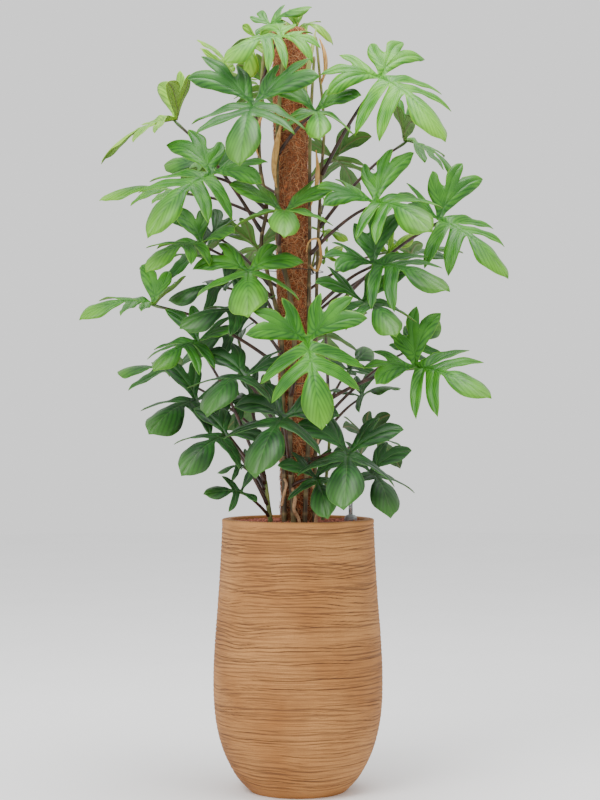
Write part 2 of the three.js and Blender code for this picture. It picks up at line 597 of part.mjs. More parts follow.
function gaugeCollar() {
  const { x, y, radius, collar, collarHeight } = GAUGE;
  const low = GRANULE_TOP - COLLAR_SUNK;
  const bore = radius + GAP;
  const top = low + collarHeight;
  return turned([[bore, low], [collar, low], [collar, top - 8], [collar * 0.86, top - 4.5],
    [collar * 0.6, top - 1.5], [bore + 1.2, top], [bore, top], [bore, low]], 12, x, y);
}

// The place of the collar in the granules.
function collarSeat() {
  const { x, y, collar, collarHeight } = GAUGE;
  const low = GRANULE_TOP - COLLAR_SUNK - GAP;
  const radius = collar + GAP;
  return turned([[0, low], [radius, low], [radius, low + collarHeight], [0, low + collarHeight]], 12, x, y);
}

function gaugeFloat() {
  const { x, y, bottom } = GAUGE;
  const head = FLOAT_HEAD;
  return turned([[0, bottom + 20], [1.3, bottom + 20], [1.3, head], [3, head + 1.5], [3, head + 9],
    [1.4, head + 11], [0, head + 11]], 8, x, y);
}

function tieSolid({ centre, reach, tilt }) {
  const geometry = new THREE.TorusGeometry(1, 1.6 / reach[0], 3, 14);
  geometry.scale(reach[0], reach[1], reach[0]);
  geometry.rotateY(THREE.MathUtils.degToRad(tilt));
  geometry.translate(...centre);
  return solidOf(geometry);
}

// Assembly

const FINISHES = {
  planter: [0xbb8f62, 0.75],
  medium: [0x3d2b20, 0.95],
  granules: [0x8f5848, 0.9],
  coir: [0x8a5a38, 0.95],
  stake: [0xa98d68, 0.8],
  bark: [0x5c4a2e, 0.7],
  shoot: [0x86a04d, 0.5],
  leaf: [0x4c8a4b, 0.45],
  tube: [0xd8dcd8, 0.15],
  collar: [0x7b7e80, 0.5],
  float: [0xc24a2c, 0.5],
};

const group = new THREE.Group();

function addNode(name, solid, finish, colour = FINISHES[finish][0]) {
  const roughness = FINISHES[finish][1];
  const material = new THREE.MeshStandardMaterial({ color: colour, roughness, metalness: 0 });
  const mesh = new THREE.Mesh(geometryOf(solid), material);
  mesh.name = name;
  group.add(mesh);
}

const standing = [sleeveSolid(GAP), stakeSolid(GAP), gaugeTube(GAP), collarSeat(),
  ...['left', 'front', 'right', 'outer', 'back', 'low_back', 'low_left'].map((name) => stemSolid(name, GAP)),
  ...ROOTS.map((root) => rootSolid(root, GAP))];

addNode('planter', planterSolid(), 'planter');
addNode('planting_medium', mediumSolid(standing), 'medium');
addNode('granule_layer', granuleSolid(standing), 'granules');
addNode('coir_sleeve', sleeveSolid(0), 'coir');
addNode('pole_stake', stakeSolid(0), 'stake');
addNode('climber_left', climberSolid('left'), 'bark');
addNode('climber_front', climberSolid('front'), 'bark');
addNode('climber_right', climberSolid('right'), 'bark');
addNode('climber_outer', climberSolid('outer'), 'bark');
for (const name of Object.keys(SHOOT_LEAVES)) addNode(name, shootSolid(name), 'shoot');
addNode('gauge_tube', gaugeTube(), 'tube');
addNode('gauge_collar', gaugeCollar(), 'collar');
addNode('gauge_float', gaugeFloat(), 'float');
for (const tie of TIES) addNode(tie.name, tieSolid(tie), 'collar', tie.colour);
for (const row of LEAVES) addNode(row.name, leafSolid(row), 'leaf');

export default group;
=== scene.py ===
"""The finished surfaces of a potted philodendron pedatum on a coir pole, in metres."""

import math
from collections import namedtuple

import bpy
import numpy as np
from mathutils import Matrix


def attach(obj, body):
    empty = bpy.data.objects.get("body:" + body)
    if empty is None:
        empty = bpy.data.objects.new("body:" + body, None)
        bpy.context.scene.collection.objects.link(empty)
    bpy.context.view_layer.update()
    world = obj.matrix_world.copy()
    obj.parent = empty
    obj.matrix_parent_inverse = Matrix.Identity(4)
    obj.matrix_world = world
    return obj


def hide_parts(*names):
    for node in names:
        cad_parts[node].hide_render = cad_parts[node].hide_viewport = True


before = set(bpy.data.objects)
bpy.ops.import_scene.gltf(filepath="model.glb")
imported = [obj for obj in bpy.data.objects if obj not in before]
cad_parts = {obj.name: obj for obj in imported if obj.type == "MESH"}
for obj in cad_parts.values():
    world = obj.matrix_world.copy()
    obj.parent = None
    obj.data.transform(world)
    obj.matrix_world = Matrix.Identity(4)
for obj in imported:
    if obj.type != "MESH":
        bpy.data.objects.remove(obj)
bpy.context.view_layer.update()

# Driving dimensions, the same as the solids have

PLANTER_HEIGHT = 0.6
PLANTER_WALL = 0.021
PLANTER_FLOOR = 0.024
RIM_RADIUS = 0.169
RIM_ROUNDING = 0.0035
FOOT_RADIUS = 0.107
# The outer radius and height of the belly, from the flat foot up to just under the rounded rim.
PLANTER_BELLY = [(FOOT_RADIUS, 0), (0.134, 0.028), (0.163, 0.081), (0.179, 0.134), (0.1865, 0.188),
                 (0.188, 0.255), (0.1845, 0.335), (0.178, 0.419), (0.1725, 0.508), (RIM_RADIUS, 0.588),
                 (RIM_RADIUS, 0.595)]
# The heights where the wall inside follows the belly, and the height down to which it is upright.
INSIDE_HEIGHTS = (0.5555, 0.33, 0.18, 0.08)
INSIDE_UPRIGHT = 0.58

GRANULE_TOP = 0.5915
GRANULE_BOTTOM = 0.5565

POLE_RADIUS = 0.0385
POLE_TOP = 1.69
POLE_BOTTOM = 0.33
POLE_LEAN = -0.02

STEM_FOOT = 0.525
BLADE_THICKNESS = 0.0008

GAUGE_PLACE = (0.118, 0.034)
GAUGE_RADIUS = 0.005
GAUGE_WALL = 0.0011
GAUGE_BOTTOM = 0.26
GAUGE_TOP = 0.668
COLLAR_RADIUS = 0.014
COLLAR_LOW = 0.591
COLLAR_HEIGHT = 0.016
SIGNAL_FOOT = 0.28
SIGNAL_HEAD = 0.614

# The ties: name, coat, centre, half width and half depth, tilt, and where the twist sits, in degrees.
TIES = [
    ("tie_top", "black", (-0.018, 0.003, 1.152), (0.074, 0.063), 3, -50),
    ("tie_middle", "green", (0.001, 0.002, 0.898), (0.062, 0.066), -3, -120),
    ("tie_low", "green", (0.004, 0.006, 0.738), (0.074, 0.07), 5, -75),
]
# The radius of the ties in the solids, and how much of it the finished wire keeps.
TIE_RADIUS = 0.0016
WIRE_SHARE = 0.62

# Places are read off the front elevation as it is seen from here: (x, depth, height).
SIGHT_DISTANCE = 4.1
SIGHT_HEIGHT = 0.83
LENS = 83.0
SENSOR_WIDTH = 36
PICTURE_CENTRE = (0.0044, 0.8633)

# The climbing stems: paths from the foot up, radius at the foot and at the top.
STEMS = {
    "left": ([
        (-0.03, -0.042, 0.56), (-0.031, -0.042, 0.7), (-0.033, -0.042, 0.83), (-0.038, -0.041, 1.01),
        (-0.064, -0.03, 1.13), (-0.082, -0.014, 1.212), (-0.07, -0.012, 1.29), (-0.084, -0.008, 1.38),
        (-0.087, -0.006, 1.45), (-0.082, -0.006, 1.56), (-0.074, -0.006, 1.655),
    ], (0.006, 0.004)),
    "front": ([
        (-0.008, -0.048, 0.56), (-0.016, -0.0475, 0.7), (-0.018, -0.0475, 0.83), (-0.008, -0.048, 1.01),
        (-0.02, -0.0475, 1.108), (-0.042, -0.043, 1.2), (-0.046, -0.041, 1.29), (-0.046, -0.041, 1.45),
        (-0.034, -0.046, 1.619),
    ], (0.0065, 0.0045)),
    "right": ([
        (0.014, -0.047, 0.56), (0.019, -0.044, 0.7), (0.025, -0.042, 0.83), (0.023, -0.041, 1.03),
        (0.026, -0.037, 1.196), (0.026, -0.034, 1.34), (0.028, -0.028, 1.48), (0.036, -0.02, 1.628),
    ], (0.0055, 0.0035)),
    "outer": ([
        (0.036, -0.034, 0.56), (0.039, -0.03, 0.76), (0.04, -0.022, 0.9), (0.041, -0.019, 1.085),
        (0.046, -0.008, 1.25), (0.052, -0.004, 1.368), (0.058, -0.002, 1.474), (0.048, 0, 1.59),
        (0.04, -0.002, 1.672),
    ], (0.005, 0.0032)),
    "back": ([
        (0.008, 0.05, 0.56), (0.004, 0.05, 0.8), (-0.004, 0.05, 1.1), (-0.01, 0.05, 1.4),
        (-0.014, 0.05, 1.56), (-0.022, 0.047, 1.68),
    ], (0.006, 0.0035)),
    "low_back": ([
        (0.052, 0.042, 0.56), (0.062, 0.062, 0.68), (0.07, 0.084, 0.79), (0.066, 0.104, 0.9),
    ], (0.005, 0.003)),
    "low_left": ([
        (-0.058, -0.03, 0.56), (-0.062, -0.033, 0.6), (-0.067, -0.037, 0.64), (-0.072, -0.04, 0.685),
    ], (0.007, 0.004)),
    "side": ([
        (0.029, 0.018, 1.15), (0.04, 0.026, 1.2), (0.048, 0.03, 1.25), (0.052, 0.032, 1.3),
    ], (0.003, 0.002)),
}

# Thick tan roots that leave a stem: the stem, the path, and the radius.
ROOTS = [
    ("front", [
        (-0.013, -0.049, 0.668), (-0.006, -0.062, 0.648), (-0.009, -0.066, 0.62), (0.002, -0.062, 0.598),
        (0.005, -0.062, 0.57),
    ], 0.004),
    ("right", [
        (0.022, -0.044, 0.69), (0.04, -0.058, 0.66), (0.047, -0.06, 0.63), (0.04, -0.064, 0.6),
        (0.038, -0.064, 0.57),
    ], 0.0042),
    ("left", [
        (-0.031, -0.042, 0.69), (-0.026, -0.06, 0.676), (-0.032, -0.066, 0.65), (-0.036, -0.062, 0.628),
    ], 0.003),
    ("outer", [
        (0.04, -0.026, 0.83), (0.047, -0.042, 0.812), (0.047, -0.047, 0.785), (0.042, -0.046, 0.762),
    ], 0.0026),
]

# Sheaths that still clasp the stems, from the clasped end to the free tip: stem, finish, half width, path.
SHEATHS = [
    ("front", "dry", 0.008, [
        (-0.046, -0.041, 1.33), (-0.052, -0.052, 1.38), (-0.047, -0.058, 1.43), (-0.038, -0.055, 1.478),
    ]),
    ("left", "dry", 0.0055, [
        (-0.086, -0.007, 1.4), (-0.094, -0.014, 1.44), (-0.088, -0.02, 1.475), (-0.078, -0.02, 1.5),
    ]),
    ("right", "dry", 0.005, [
        (0.027, -0.035, 1.29), (0.04, -0.046, 1.33), (0.044, -0.05, 1.375), (0.04, -0.05, 1.42),
    ]),
    ("right", "dry", 0.0036, [
        (0.025, -0.038, 1.165), (0.042, -0.058, 1.15), (0.052, -0.066, 1.185), (0.044, -0.066, 1.222),
        (0.026, -0.064, 1.218), (0.018, -0.06, 1.192),
    ]),
    ("outer", "dry", 0.005, [
        (0.05, 0, 1.56), (0.062, -0.008, 1.6), (0.058, -0.012, 1.64), (0.048, -0.012, 1.668),
    ]),
    ("right", "fresh", 0.006, [
        (0.028, -0.027, 1.5), (0.018, -0.04, 1.545), (0.027, -0.042, 1.62), (0.04, -0.034, 1.69),
    ]),
]

# The blade: half its outline, in lengths of the midrib. s runs from the hub to the tip, t across.
MIDRIB = (0, 0.13, 0.27, 0.42)
REAR_RIB = (-0.05, 0.09)
HUB_NOTCH = (-0.04, 0)
# The cleft that parts the front of the blade from its rear wings.
CLEFT = (0.02, 0.045)
# Each form: its waist, the edge of its end lobe, and its lobes. Each lobe: where its rib springs from,
# its tip, its half width, and the notch behind it.
Form = namedtuple("Form", "waist end lobes")
Lobe = namedtuple("Lobe", "root tip half notch")
SLIM_END = [(0.52, 0.115), (0.71, 0.168), (0.89, 0.115)]
BROAD_END = [(0.46, 0.15), (0.68, 0.212), (0.88, 0.142)]
FORMS = {
    "full": Form((0.39, 0.045), SLIM_END, [
        Lobe(2, (0.6, 0.46), 0.07, (0.18, 0.05)),
        Lobe(1, (0.36, 0.54), 0.068, CLEFT),
        Lobe("rear", (-0.04, 0.63), 0.085, (-0.16, 0.4)),
        Lobe("rear", (-0.28, 0.52), 0.075, (-0.2, 0.21)),
        Lobe("rear", (-0.4, 0.2), 0.062, HUB_NOTCH),
    ]),
    "medium": Form((0.39, 0.05), SLIM_END, [
        Lobe(2, (0.59, 0.45), 0.078, (0.175, 0.055)),
        Lobe(1, (0.34, 0.53), 0.074, CLEFT),
        Lobe("rear", (-0.08, 0.6), 0.1, (-0.17, 0.26)),
        Lobe("rear", (-0.36, 0.34), 0.09, HUB_NOTCH),
    ]),
    "simple": Form((0.3, 0.05), BROAD_END, [
        Lobe(1, (0.45, 0.54), 0.085, CLEFT),
        Lobe("rear", (-0.08, 0.6), 0.1, (-0.17, 0.26)),
        Lobe("rear", (-0.36, 0.32), 0.085, HUB_NOTCH),
    ]),
    "juvenile": Form((0.26, 0.05), BROAD_END, [
        Lobe(1, (0.4, 0.5), 0.09, CLEFT),
        Lobe("rear", (-0.25, 0.45), 0.11, HUB_NOTCH),
    ]),
}
# Where along a lobe its belly and its shoulder are, how wide the shoulder is beside the belly, and the bow of
# its rib to the side.
LOBE_BELLY = 0.6
LOBE_SHOULDER = 0.86
SHOULDER_WIDTH = 0.58
LOBE_SICKLE = 0.035
# How far the whole blade waves up and down, and how often round its hub.
FLUTTER = 0.09
FLUTTER_TURNS = 5
# How steeply a lobe rises on both sides of its rib, and how its edges hang down again.
RIB_FOLD = 0.5
EDGE_DROOP = 1.6

# Rows of vertices in each half of a lobe: along a piece of midrib, along a web, and in all.
SEAM_ROWS = 2
WEB_ROWS = 4
LOBE_ROWS = 18
ACROSS = np.array([0, 0.12, 0.4, 0.7, 1.0])
# How closely the rows crowd towards a rib's root, in the end lobe and in the others.
END_CROWDING = 1.9
SIDE_CROWDING = 2.4

# Each leaf: form, hub, tip, the way its upper side faces, stem, the height where its petiole leaves it, and
# tone. Then how it hangs, in lengths of its midrib: the arch of the midrib, the fold along it in front and in
# the rear wings, the curl towards tip and edges, the lift of the rear, and the rise of the petiole.
Leaf = namedtuple("Leaf", "form hub tip facing stem start tone arch fold wing curl lift rise",
                  defaults=(0.13, -0.1, 0.75, 0.5, 0.5, 0.07))

# leaf_01 and on, in the order of the solids.
LEAVES = [
    Leaf("full", (-0.037, -0.1, 1.672), (-0.165, -0.165, 1.612), (-0.15, -0.65, 0.75), "left", 1.56, "pale",
         wing=0.3, lift=0.2, curl=0.9),
    Leaf("simple", (-0.156, 0.09, 1.585), (-0.218, 0.14, 1.672), (0.7, -0.35, 0.6), "left", 1.47, "lime",
         wing=0.4, curl=0.2),
    Leaf("full", (-0.098, -0.15, 1.52), (-0.131, -0.325, 1.396), (0, -0.3, 0.95), "left", 1.43, "mid",
         wing=0.65, curl=0.35, lift=0.4),
    Leaf("medium", (0.038, -0.095, 1.503), (0.048, -0.238, 1.445), (0.1, -0.55, 0.8), "front", 1.4, "fresh",
         lift=0.6, curl=0.7),
    Leaf("full", (0.182, -0.07, 1.581), (0.327, -0.16, 1.432), (0.2, -0.8, 0.55), "outer", 1.361, "pale",
         wing=0.45, lift=0.25, curl=0.8),
    Leaf("medium", (0.236, 0.06, 1.441), (0.375, 0.08, 1.339), (0.5, -0.3, 0.8), "outer", 1.24, "fresh",
         wing=0.7, curl=0.25),
    Leaf("full", (0.171, -0.13, 1.301), (0.3, -0.27, 1.23), (0.05, -0.8, 0.6), "right", 1.18, "fresh"),
    Leaf("full", (0.312, -0.025, 1.265), (0.464, -0.095, 1.125), (0.3, -0.75, 0.6), "outer", 1.014, "fresh"),
    Leaf("full", (0.167, -0.14, 1.165), (0.338, -0.23, 1.09), (0.1, -0.75, 0.65), "right", 1.04, "mid"),
    Leaf("simple", (0.2, 0.08, 1.192), (0.262, 0.06, 1.228), (0, -0.9, 0.3), "back", 1.09, "lime"),
    Leaf("simple", (0.253, 0.15, 1.181), (0.367, 0.2, 1.199), (0.1, -0.15, 1), "back", 1.01, "mid"),
    Leaf("medium", (0.144, -0.13, 1.079), (0.218, -0.28, 0.999), (0.1, -0.5, 0.85), "right", 0.98, "mid"),
    Leaf("full", (0.02, -0.23, 0.996), (0.053, -0.29, 0.792), (0, -0.95, 0.3), "front", 0.87, "fresh"),
    Leaf("full", (0.26, -0.11, 0.936), (0.431, -0.205, 0.863), (0.1, -0.85, 0.5), "outer", 0.84, "fresh"),
    Leaf("simple", (0.249, 0.06, 0.974), (0.316, 0.1, 1.037), (0.2, -0.7, 0.6), "outer", 0.8, "mid"),
    Leaf("simple", (0.142, 0.04, 0.87), (0.225, -0.06, 0.88), (0.1, -0.6, 0.8), "outer", 0.76, "deep"),
    Leaf("simple", (0.112, 0.15, 0.928), (0.165, 0.225, 0.978), (0.1, -0.7, 0.6), "low_back", 0.85, "deep"),
    Leaf("simple", (0.111, -0.15, 0.744), (0.102, -0.31, 0.628), (0.05, -0.5, 0.85), "right", 0.72, "deep"),
    Leaf("simple", (0.04, -0.09, 0.69), (0.066, -0.2, 0.606), (0, -0.7, 0.7), "front", 0.67, "deep"),
    Leaf("simple", (0.16, -0.025, 0.702), (0.209, -0.15, 0.612), (0.2, -0.6, 0.8), "outer", 0.64, "deep"),
    Leaf("simple", (-0.031, -0.168, 0.823), (-0.096, -0.32, 0.699), (0, -0.4, 0.9), "front", 0.7, "deep",
         wing=0.3),
    Leaf("simple", (-0.191, 0.055, 1.23), (-0.3, -0.005, 1.265), (-0.1, -0.6, 0.8), "left", 1.11, "deep"),
    Leaf("medium", (-0.216, -0.08, 1.21), (-0.34, -0.18, 1.159), (-0.1, -0.5, 0.85), "left", 1.08, "fresh"),
    Leaf("simple", (-0.207, 0.09, 1.179), (-0.353, 0.14, 1.152), (-0.2, -0.3, 0.9), "back", 1.08, "mid"),
    Leaf("simple", (-0.111, -0.13, 1.148), (-0.111, -0.3, 1.048), (0, -0.4, 0.9), "left", 1.02, "fresh",
         wing=0.3),
    Leaf("medium", (-0.32, -0.02, 1.074), (-0.487, -0.08, 1.041), (-0.15, -0.3, 0.93), "left", 0.93, "fresh",
         fold=0.05, curl=0.3),
    Leaf("simple", (-0.118, -0.11, 1.058), (-0.264, -0.16, 1.024), (-0.1, -0.5, 0.85), "left", 0.96, "deep"),
    Leaf("medium", (-0.222, -0.085, 0.992), (-0.32, -0.19, 0.915), (-0.1, -0.6, 0.8), "low_left", 0.677,
         "mid"),
    Leaf("simple", (-0.278, 0.11, 0.919), (-0.4, 0.19, 0.914), (-0.1, -0.2, 0.98), "low_back", 0.64, "mid"),
    Leaf("simple", (-0.226, 0.005, 0.861), (-0.332, -0.12, 0.779), (-0.1, -0.7, 0.7), "low_left", 0.664,
         "deep"),
    Leaf("simple", (-0.118, -0.138, 0.914), (-0.204, -0.288, 0.841), (-0.1, -0.5, 0.85), "left", 0.765,
         "deep", wing=0.6),
    Leaf("simple", (-0.16, -0.098, 0.783), (-0.26, -0.208, 0.701), (-0.1, -0.7, 0.7), "low_left", 0.63,
         "deep", wing=0.5, lift=0.3),
    Leaf("full", (-0.191, -0.11, 1.365), (-0.338, -0.215, 1.236), (-0.1, -0.7, 0.7), "left", 1.28, "fresh",
         wing=0.5, lift=0.2),
    Leaf("medium", (-0.25, 0.05, 1.322), (-0.442, 0.06, 1.301), (-0.1, -0.15, 1), "back", 1.22, "pale"),
    Leaf("simple", (-0.184, 0.21, 1.37), (-0.3, 0.26, 1.392), (-0.1, -0.6, 0.7), "back", 1.3, "mid"),
    Leaf("medium", (-0.269, -0.01, 1.488), (-0.433, -0.02, 1.38), (-0.5, -0.25, 0.8), "left", 1.235, "lime",
         fold=0.1, wing=0.8, curl=0.25),
    Leaf("medium", (-0.031, -0.12, 1.276), (-0.031, -0.31, 1.24), (0, -0.12, 1), "front", 1.2, "fresh"),
    Leaf("simple", (-0.13, 0.06, 1.01), (-0.245, 0.075, 0.965), (-0.1, -0.6, 0.8), "low_left", 0.615, "deep"),
    Leaf("simple", (-0.16, 0.05, 1.115), (-0.285, 0.07, 1.075), (-0.1, -0.6, 0.8), "left", 1.04, "deep"),
    Leaf("simple", (-0.105, -0.005, 0.868), (-0.21, 0.02, 0.81), (-0.1, -0.6, 0.8), "low_left", 0.684,
         "deep"),
]

# The leafy shoots, each one piece with its own stem.
SHOOTS = {
    "climber_back": ("back", [
        Leaf("simple", (-0.062, 0.064, 1.698), (0.032, 0.052, 1.737), (-0.2, -0.75, 0.6), "back", 1.665,
             "fresh", wing=0.3),
        Leaf("juvenile", (-0.09, 0.05, 1.668), (-0.108, 0.062, 1.575), (-0.5, -0.8, 0.2), "back", 1.64,
             "lime", wing=0.3),
        Leaf("simple", (-0.004, 0.076, 1.688), (0.08, 0.062, 1.66), (0.1, -0.6, 0.8), "back", 1.62, "lime",
             arch=0.3),
        Leaf("medium", (-0.06, 0.2, 1.56), (-0.11, 0.31, 1.47), (-0.2, 0.6, 0.8), "back", 1.45, "fresh"),
        Leaf("medium", (0.08, 0.22, 1.4), (0.13, 0.35, 1.32), (0.2, 0.6, 0.8), "back", 1.29, "mid"),
        Leaf("simple", (-0.09, 0.23, 1.2), (-0.13, 0.37, 1.12), (-0.2, 0.6, 0.8), "back", 1.08, "mid"),
    ]),
    "low_shoot_back": ("low_back", [
        Leaf("simple", (0.06, 0.26, 1.01), (0.07, 0.4, 0.93), (0.1, 0.6, 0.8), "low_back", 0.86, "mid"),
        Leaf("simple", (-0.07, 0.19, 0.85), (-0.16, 0.29, 0.79), (-0.2, 0.6, 0.8), "low_back", 0.78, "deep"),
        Leaf("simple", (0.15, 0.19, 0.78), (0.23, 0.26, 0.72), (0.3, 0.5, 0.8), "low_back", 0.7, "deep"),
    ]),
    "low_shoot_left": ("low_left", [
        Leaf("juvenile", (-0.127, -0.09, 0.659), (-0.211, -0.12, 0.654), (-0.2, -0.9, 0.4), "low_left",
             0.605, "deep"),
        Leaf("simple", (-0.12, 0.008, 0.716), (-0.18, 0.025, 0.7), (-0.1, -0.6, 0.8), "low_left", 0.652,
             "deep"),
    ]),
    "side_shoot": ("side", [
        Leaf("juvenile", (0.056, 0.02, 1.237), (0.112, 0, 1.219), (0, -0.6, 0.8), "side", 1.2, "lime"),
        Leaf("juvenile", (0.06, 0.06, 1.306), (0.098, 0.08, 1.302), (0, -0.6, 0.8), "side", 1.28, "lime"),
        Leaf("juvenile", (0.06, 0.06, 1.18), (0.1, 0.06, 1.205), (0.1, -0.8, 0.5), "side", 1.16, "lime"),
    ]),
}


# Node trees

def screen_colour(red, green, blue):
    """A colour as it looks on a screen, 0 to 255, turned to the linear one that a socket takes."""
    linear = [((c / 255 + 0.055) / 1.055) ** 2.4 if c > 10 else c / 255 / 12.92 for c in (red, green, blue)]
    return (*linear, 1.0)


class Nodes:
    """A node tree in the making. Its methods add nodes and give back what comes out of them."""

    def __init__(self, tree, coordinates, socket):
        self.tree = tree
        self.place = self.node(coordinates).outputs[socket]

    def node(self, kind, inputs=None, **settings):
        """Adds a node, sets it up, and joins or sets its inputs."""
        made = self.tree.nodes.new(kind)
        for key, value in settings.items():
            setattr(made, key, value)
        for key, value in (inputs or {}).items():
            if isinstance(value, bpy.types.NodeSocket):
                self.tree.links.new(value, made.inputs[key])
            else:
                made.inputs[key].default_value = value
        return made

    def out(self, kind, inputs=None, **settings):
        """The first result of a new node."""
        return self.node(kind, inputs, **settings).outputs[0]

    def math(self, operation, *values):
        return self.out("ShaderNodeMath", dict(enumerate(values)), operation=operation)

    def plus(self, first, second):
        return self.math("ADD", first, second)

    def times(self, value, factor):
        return self.math("MULTIPLY", value, factor)

    def ranged(self, value, low, high, start=0.0, end=1.0, ease="LINEAR"):
        """A value mapped from low..high to start..end, and held there."""
        return self.out("ShaderNodeMapRange", {0: value, 1: low, 2: high, 3: start, 4: end},
                        interpolation_type=ease)

    def eased(self, value, low, high, start=0.0, end=1.0):
        """The same with a soft start and end."""
        return self.ranged(value, low, high, start, end, "SMOOTHSTEP")

    def part(self, vector, axis):
        """One of a vector's three parts."""
        return self.node("ShaderNodeSeparateXYZ", {0: vector}).outputs[axis]

    def stretched(self, vector, factors):
        """A vector with each of its parts multiplied."""
        return self.out("ShaderNodeVectorMath", {0: vector, 1: factors}, operation="MULTIPLY")

    def mottle(self, scale, detail=2.0, distortion=0.0):
        """Soft noise in space, about 0.5 on average. A scale in three parts stretches it."""
        place = self.place
        if not isinstance(scale, (int, float)):
            place = self.stretched(place, scale)
            scale = 1
        return self.out("ShaderNodeTexNoise", {"Vector": place, "Scale": scale, "Detail": detail,
                                               "Distortion": distortion})


class Finish(Nodes):
    """A material in the making, on object coordinates."""

    def __init__(self, name, roughness, **shader_values):
        self.material = bpy.data.materials.new(name)
        self.material.use_nodes = True
        super().__init__(self.material.node_tree, "ShaderNodeTexCoord", "Object")
        self.shader = next(n for n in self.tree.nodes if n.type == "BSDF_PRINCIPLED")
        self.shader.inputs["Roughness"].default_value = roughness
        for key, value in shader_values.items():
            self.shader.inputs[key.replace("_", " ")].default_value = value

    def mark(self, name):
        """A named attribute of the mesh, as a number."""
        return self.node("ShaderNodeAttribute", attribute_name=name).outputs["Fac"]

    def blended(self, share, first, second):
        """Two colours mixed by a share. Each is a socket, or a colour as it looks on a screen."""
        first, second = (screen_colour(*c) if isinstance(c, tuple) else c for c in (first, second))
        return self.node("ShaderNodeMix", {0: share, 6: first, 7: second}, data_type="RGBA").outputs[2]

    def done(self, colour, height=None, relief=0.0):
        """Joins the colour and the relief to the shader, and gives the finished material."""
        self.tree.links.new(colour, self.shader.inputs["Base Color"])
        if height is not None:
            bump = self.out("ShaderNodeBump", {"Height": height, "Distance": relief, "Strength": 1.0})
            self.tree.links.new(bump, self.shader.inputs["Normal"])
        return self.material


# Finishes of the leaves

# Each tone, as it looks on a screen: shaded and lit green, tips and edges, ribs, and two greens underneath,
# made yellower with painted light shining through the blade.
Tone = namedtuple("Tone", "shaded lit tip rib under_shaded under_lit")
TONES = {
    "deep": Tone((10, 48, 16), (35, 90, 26), (76, 130, 40), (84, 120, 60), (26, 68, 14), (54, 100, 28)),
    "fresh": Tone((30, 92, 14), (72, 142, 28), (118, 176, 36), (30, 92, 14), (56, 108, 8), (100, 148, 30)),
    "lime": Tone((74, 130, 8), (134, 186, 44), (166, 206, 62), (74, 130, 8), (88, 136, 6), (144, 184, 48)),
    "mid": Tone((20, 74, 16), (52, 116, 26), (100, 158, 34), (20, 74, 16), (46, 92, 10), (82, 130, 26)),
    "pale": Tone((46, 116, 14), (98, 168, 38), (140, 194, 48), (46, 116, 14), (66, 116, 10), (112, 158, 36)),
}
UNDER_RIB = (94, 92, 44)
# The side veins: how far apart they are, and how far they sweep towards the tip on their way to the edge.
PLEAT_SPACING = 0.016
VEIN_SWEEP = 1.6


def pleats(made):
    """Stripes along the side veins, 1 on each vein, for their relief and for the painted shade in their
    folds.
    """
    laid = made.out("ShaderNodeUVMap", uv_map="veins")
    along, across, _ = made.node("ShaderNodeSeparateXYZ", {0: laid}).outputs
    station = made.math("SUBTRACT", along, made.times(across, VEIN_SWEEP))
    wave = made.math("SINE", made.times(station, math.tau / PLEAT_SPACING))
    return made.ranged(wave, -0.2, 1)


def leaf_upper(name):
    """The upper side of a blade: satin green, pleated along the veins, with painted shade in the pleats, and
    lighter tips and edges.
    """
    tone = TONES[name]
    made = Finish("leaf_upper_" + name, 0.42, Specular_IOR_Level=0.34, Coat_Weight=0.08, Coat_Roughness=0.3)
    pleat = pleats(made)
    clouds = made.ranged(made.mottle(22, 1.5), 0.3, 0.7, 0.2, 1.08)
    # The pleats darken the green: darker veins, and painted shade in the pleats' folds.
    colour = made.blended(made.plus(clouds, made.times(pleat, -0.58)), tone.shaded, tone.lit)
    colour = made.blended(made.eased(made.mark("reach"), 0.5, 1.05, 0, 0.45), colour, tone.tip)
    colour = made.blended(made.eased(made.mark("rib"), 0.0003, 0.0013, 0.35, 0), colour, tone.rib)
    colour = made.blended(made.eased(made.mark("margin"), 0.0003, 0.0016, 0.6, 0), colour, tone.tip)
    groove = made.eased(made.mark("rib"), 0.0002, 0.0018, -1.5, 0)
    return made.done(colour, made.math("SUBTRACT", groove, pleat), 0.00012)


def leaf_under(name):
    """The under side: duller and paler, and yellower with painted light shining through the blade, with the
    ribs standing out darker.
    """
    tone = TONES[name]
    made = Finish("leaf_under_" + name, 0.6)
    pleat = pleats(made)
    clouds = made.ranged(made.mottle(16, 1), 0.3, 0.7, 0.1, 0.9)
    # The pleats darken the green a little: darker veins, and painted shade in the pleats' folds.
    colour = made.blended(made.plus(clouds, made.times(pleat, -0.2)), tone.under_shaded, tone.under_lit)
    colour = made.blended(made.eased(made.mark("rib"), 0.0006, 0.0018, 0.75, 0), colour, UNDER_RIB)
    return made.done(colour, pleat, 0.0001)


def petiole_skin():
    """Dark maroon leaf stalks that turn green where they meet the blade."""
    made = Finish("petiole_skin", 0.38)
    streak = made.mottle((90, 90, 25), 3)
    colour = made.blended(made.ranged(streak, 0.3, 0.7), (28, 16, 12), (78, 48, 34))
    colour = made.blended(made.eased(made.mark("along"), 0.86, 1.0, 0, 0.8), colour, (92, 128, 66))
    return made.done(colour, streak, 0.0004)


# Finishes of the stems, the pole and the fill

def grained(name, roughness, pattern, share, dark, light, relief):
    """A plain finish: two colours mixed by one noise, which also raises the surface."""
    made = Finish(name, roughness)
    grain = made.mottle(*pattern)
    return made.done(made.blended(made.ranged(grain, *share), dark, light), grain, relief)


def stem_skin(name, dark, light, scar):
    """Ridged climbing stems, greener higher up, with pale rings where leaves have been."""
    made = Finish(name, 0.55)
    streak = made.mottle((260, 260, 14), 4)
    patch = made.ranged(made.mottle(18, 2), 0.4, 0.65, 0, 0.5)
    shade = made.plus(made.ranged(streak, 0.3, 0.7, -0.2, 0.5), patch)
    colour = made.blended(shade, dark, light)
    young = made.blended(shade, (92, 104, 44), (170, 180, 96))
    colour = made.blended(made.ranged(made.part(made.place, 2), 1.35, 1.6, 0, 0.85), colour, young)
    return made.done(made.blended(made.mark("scar"), colour, scar), streak, 0.0008)


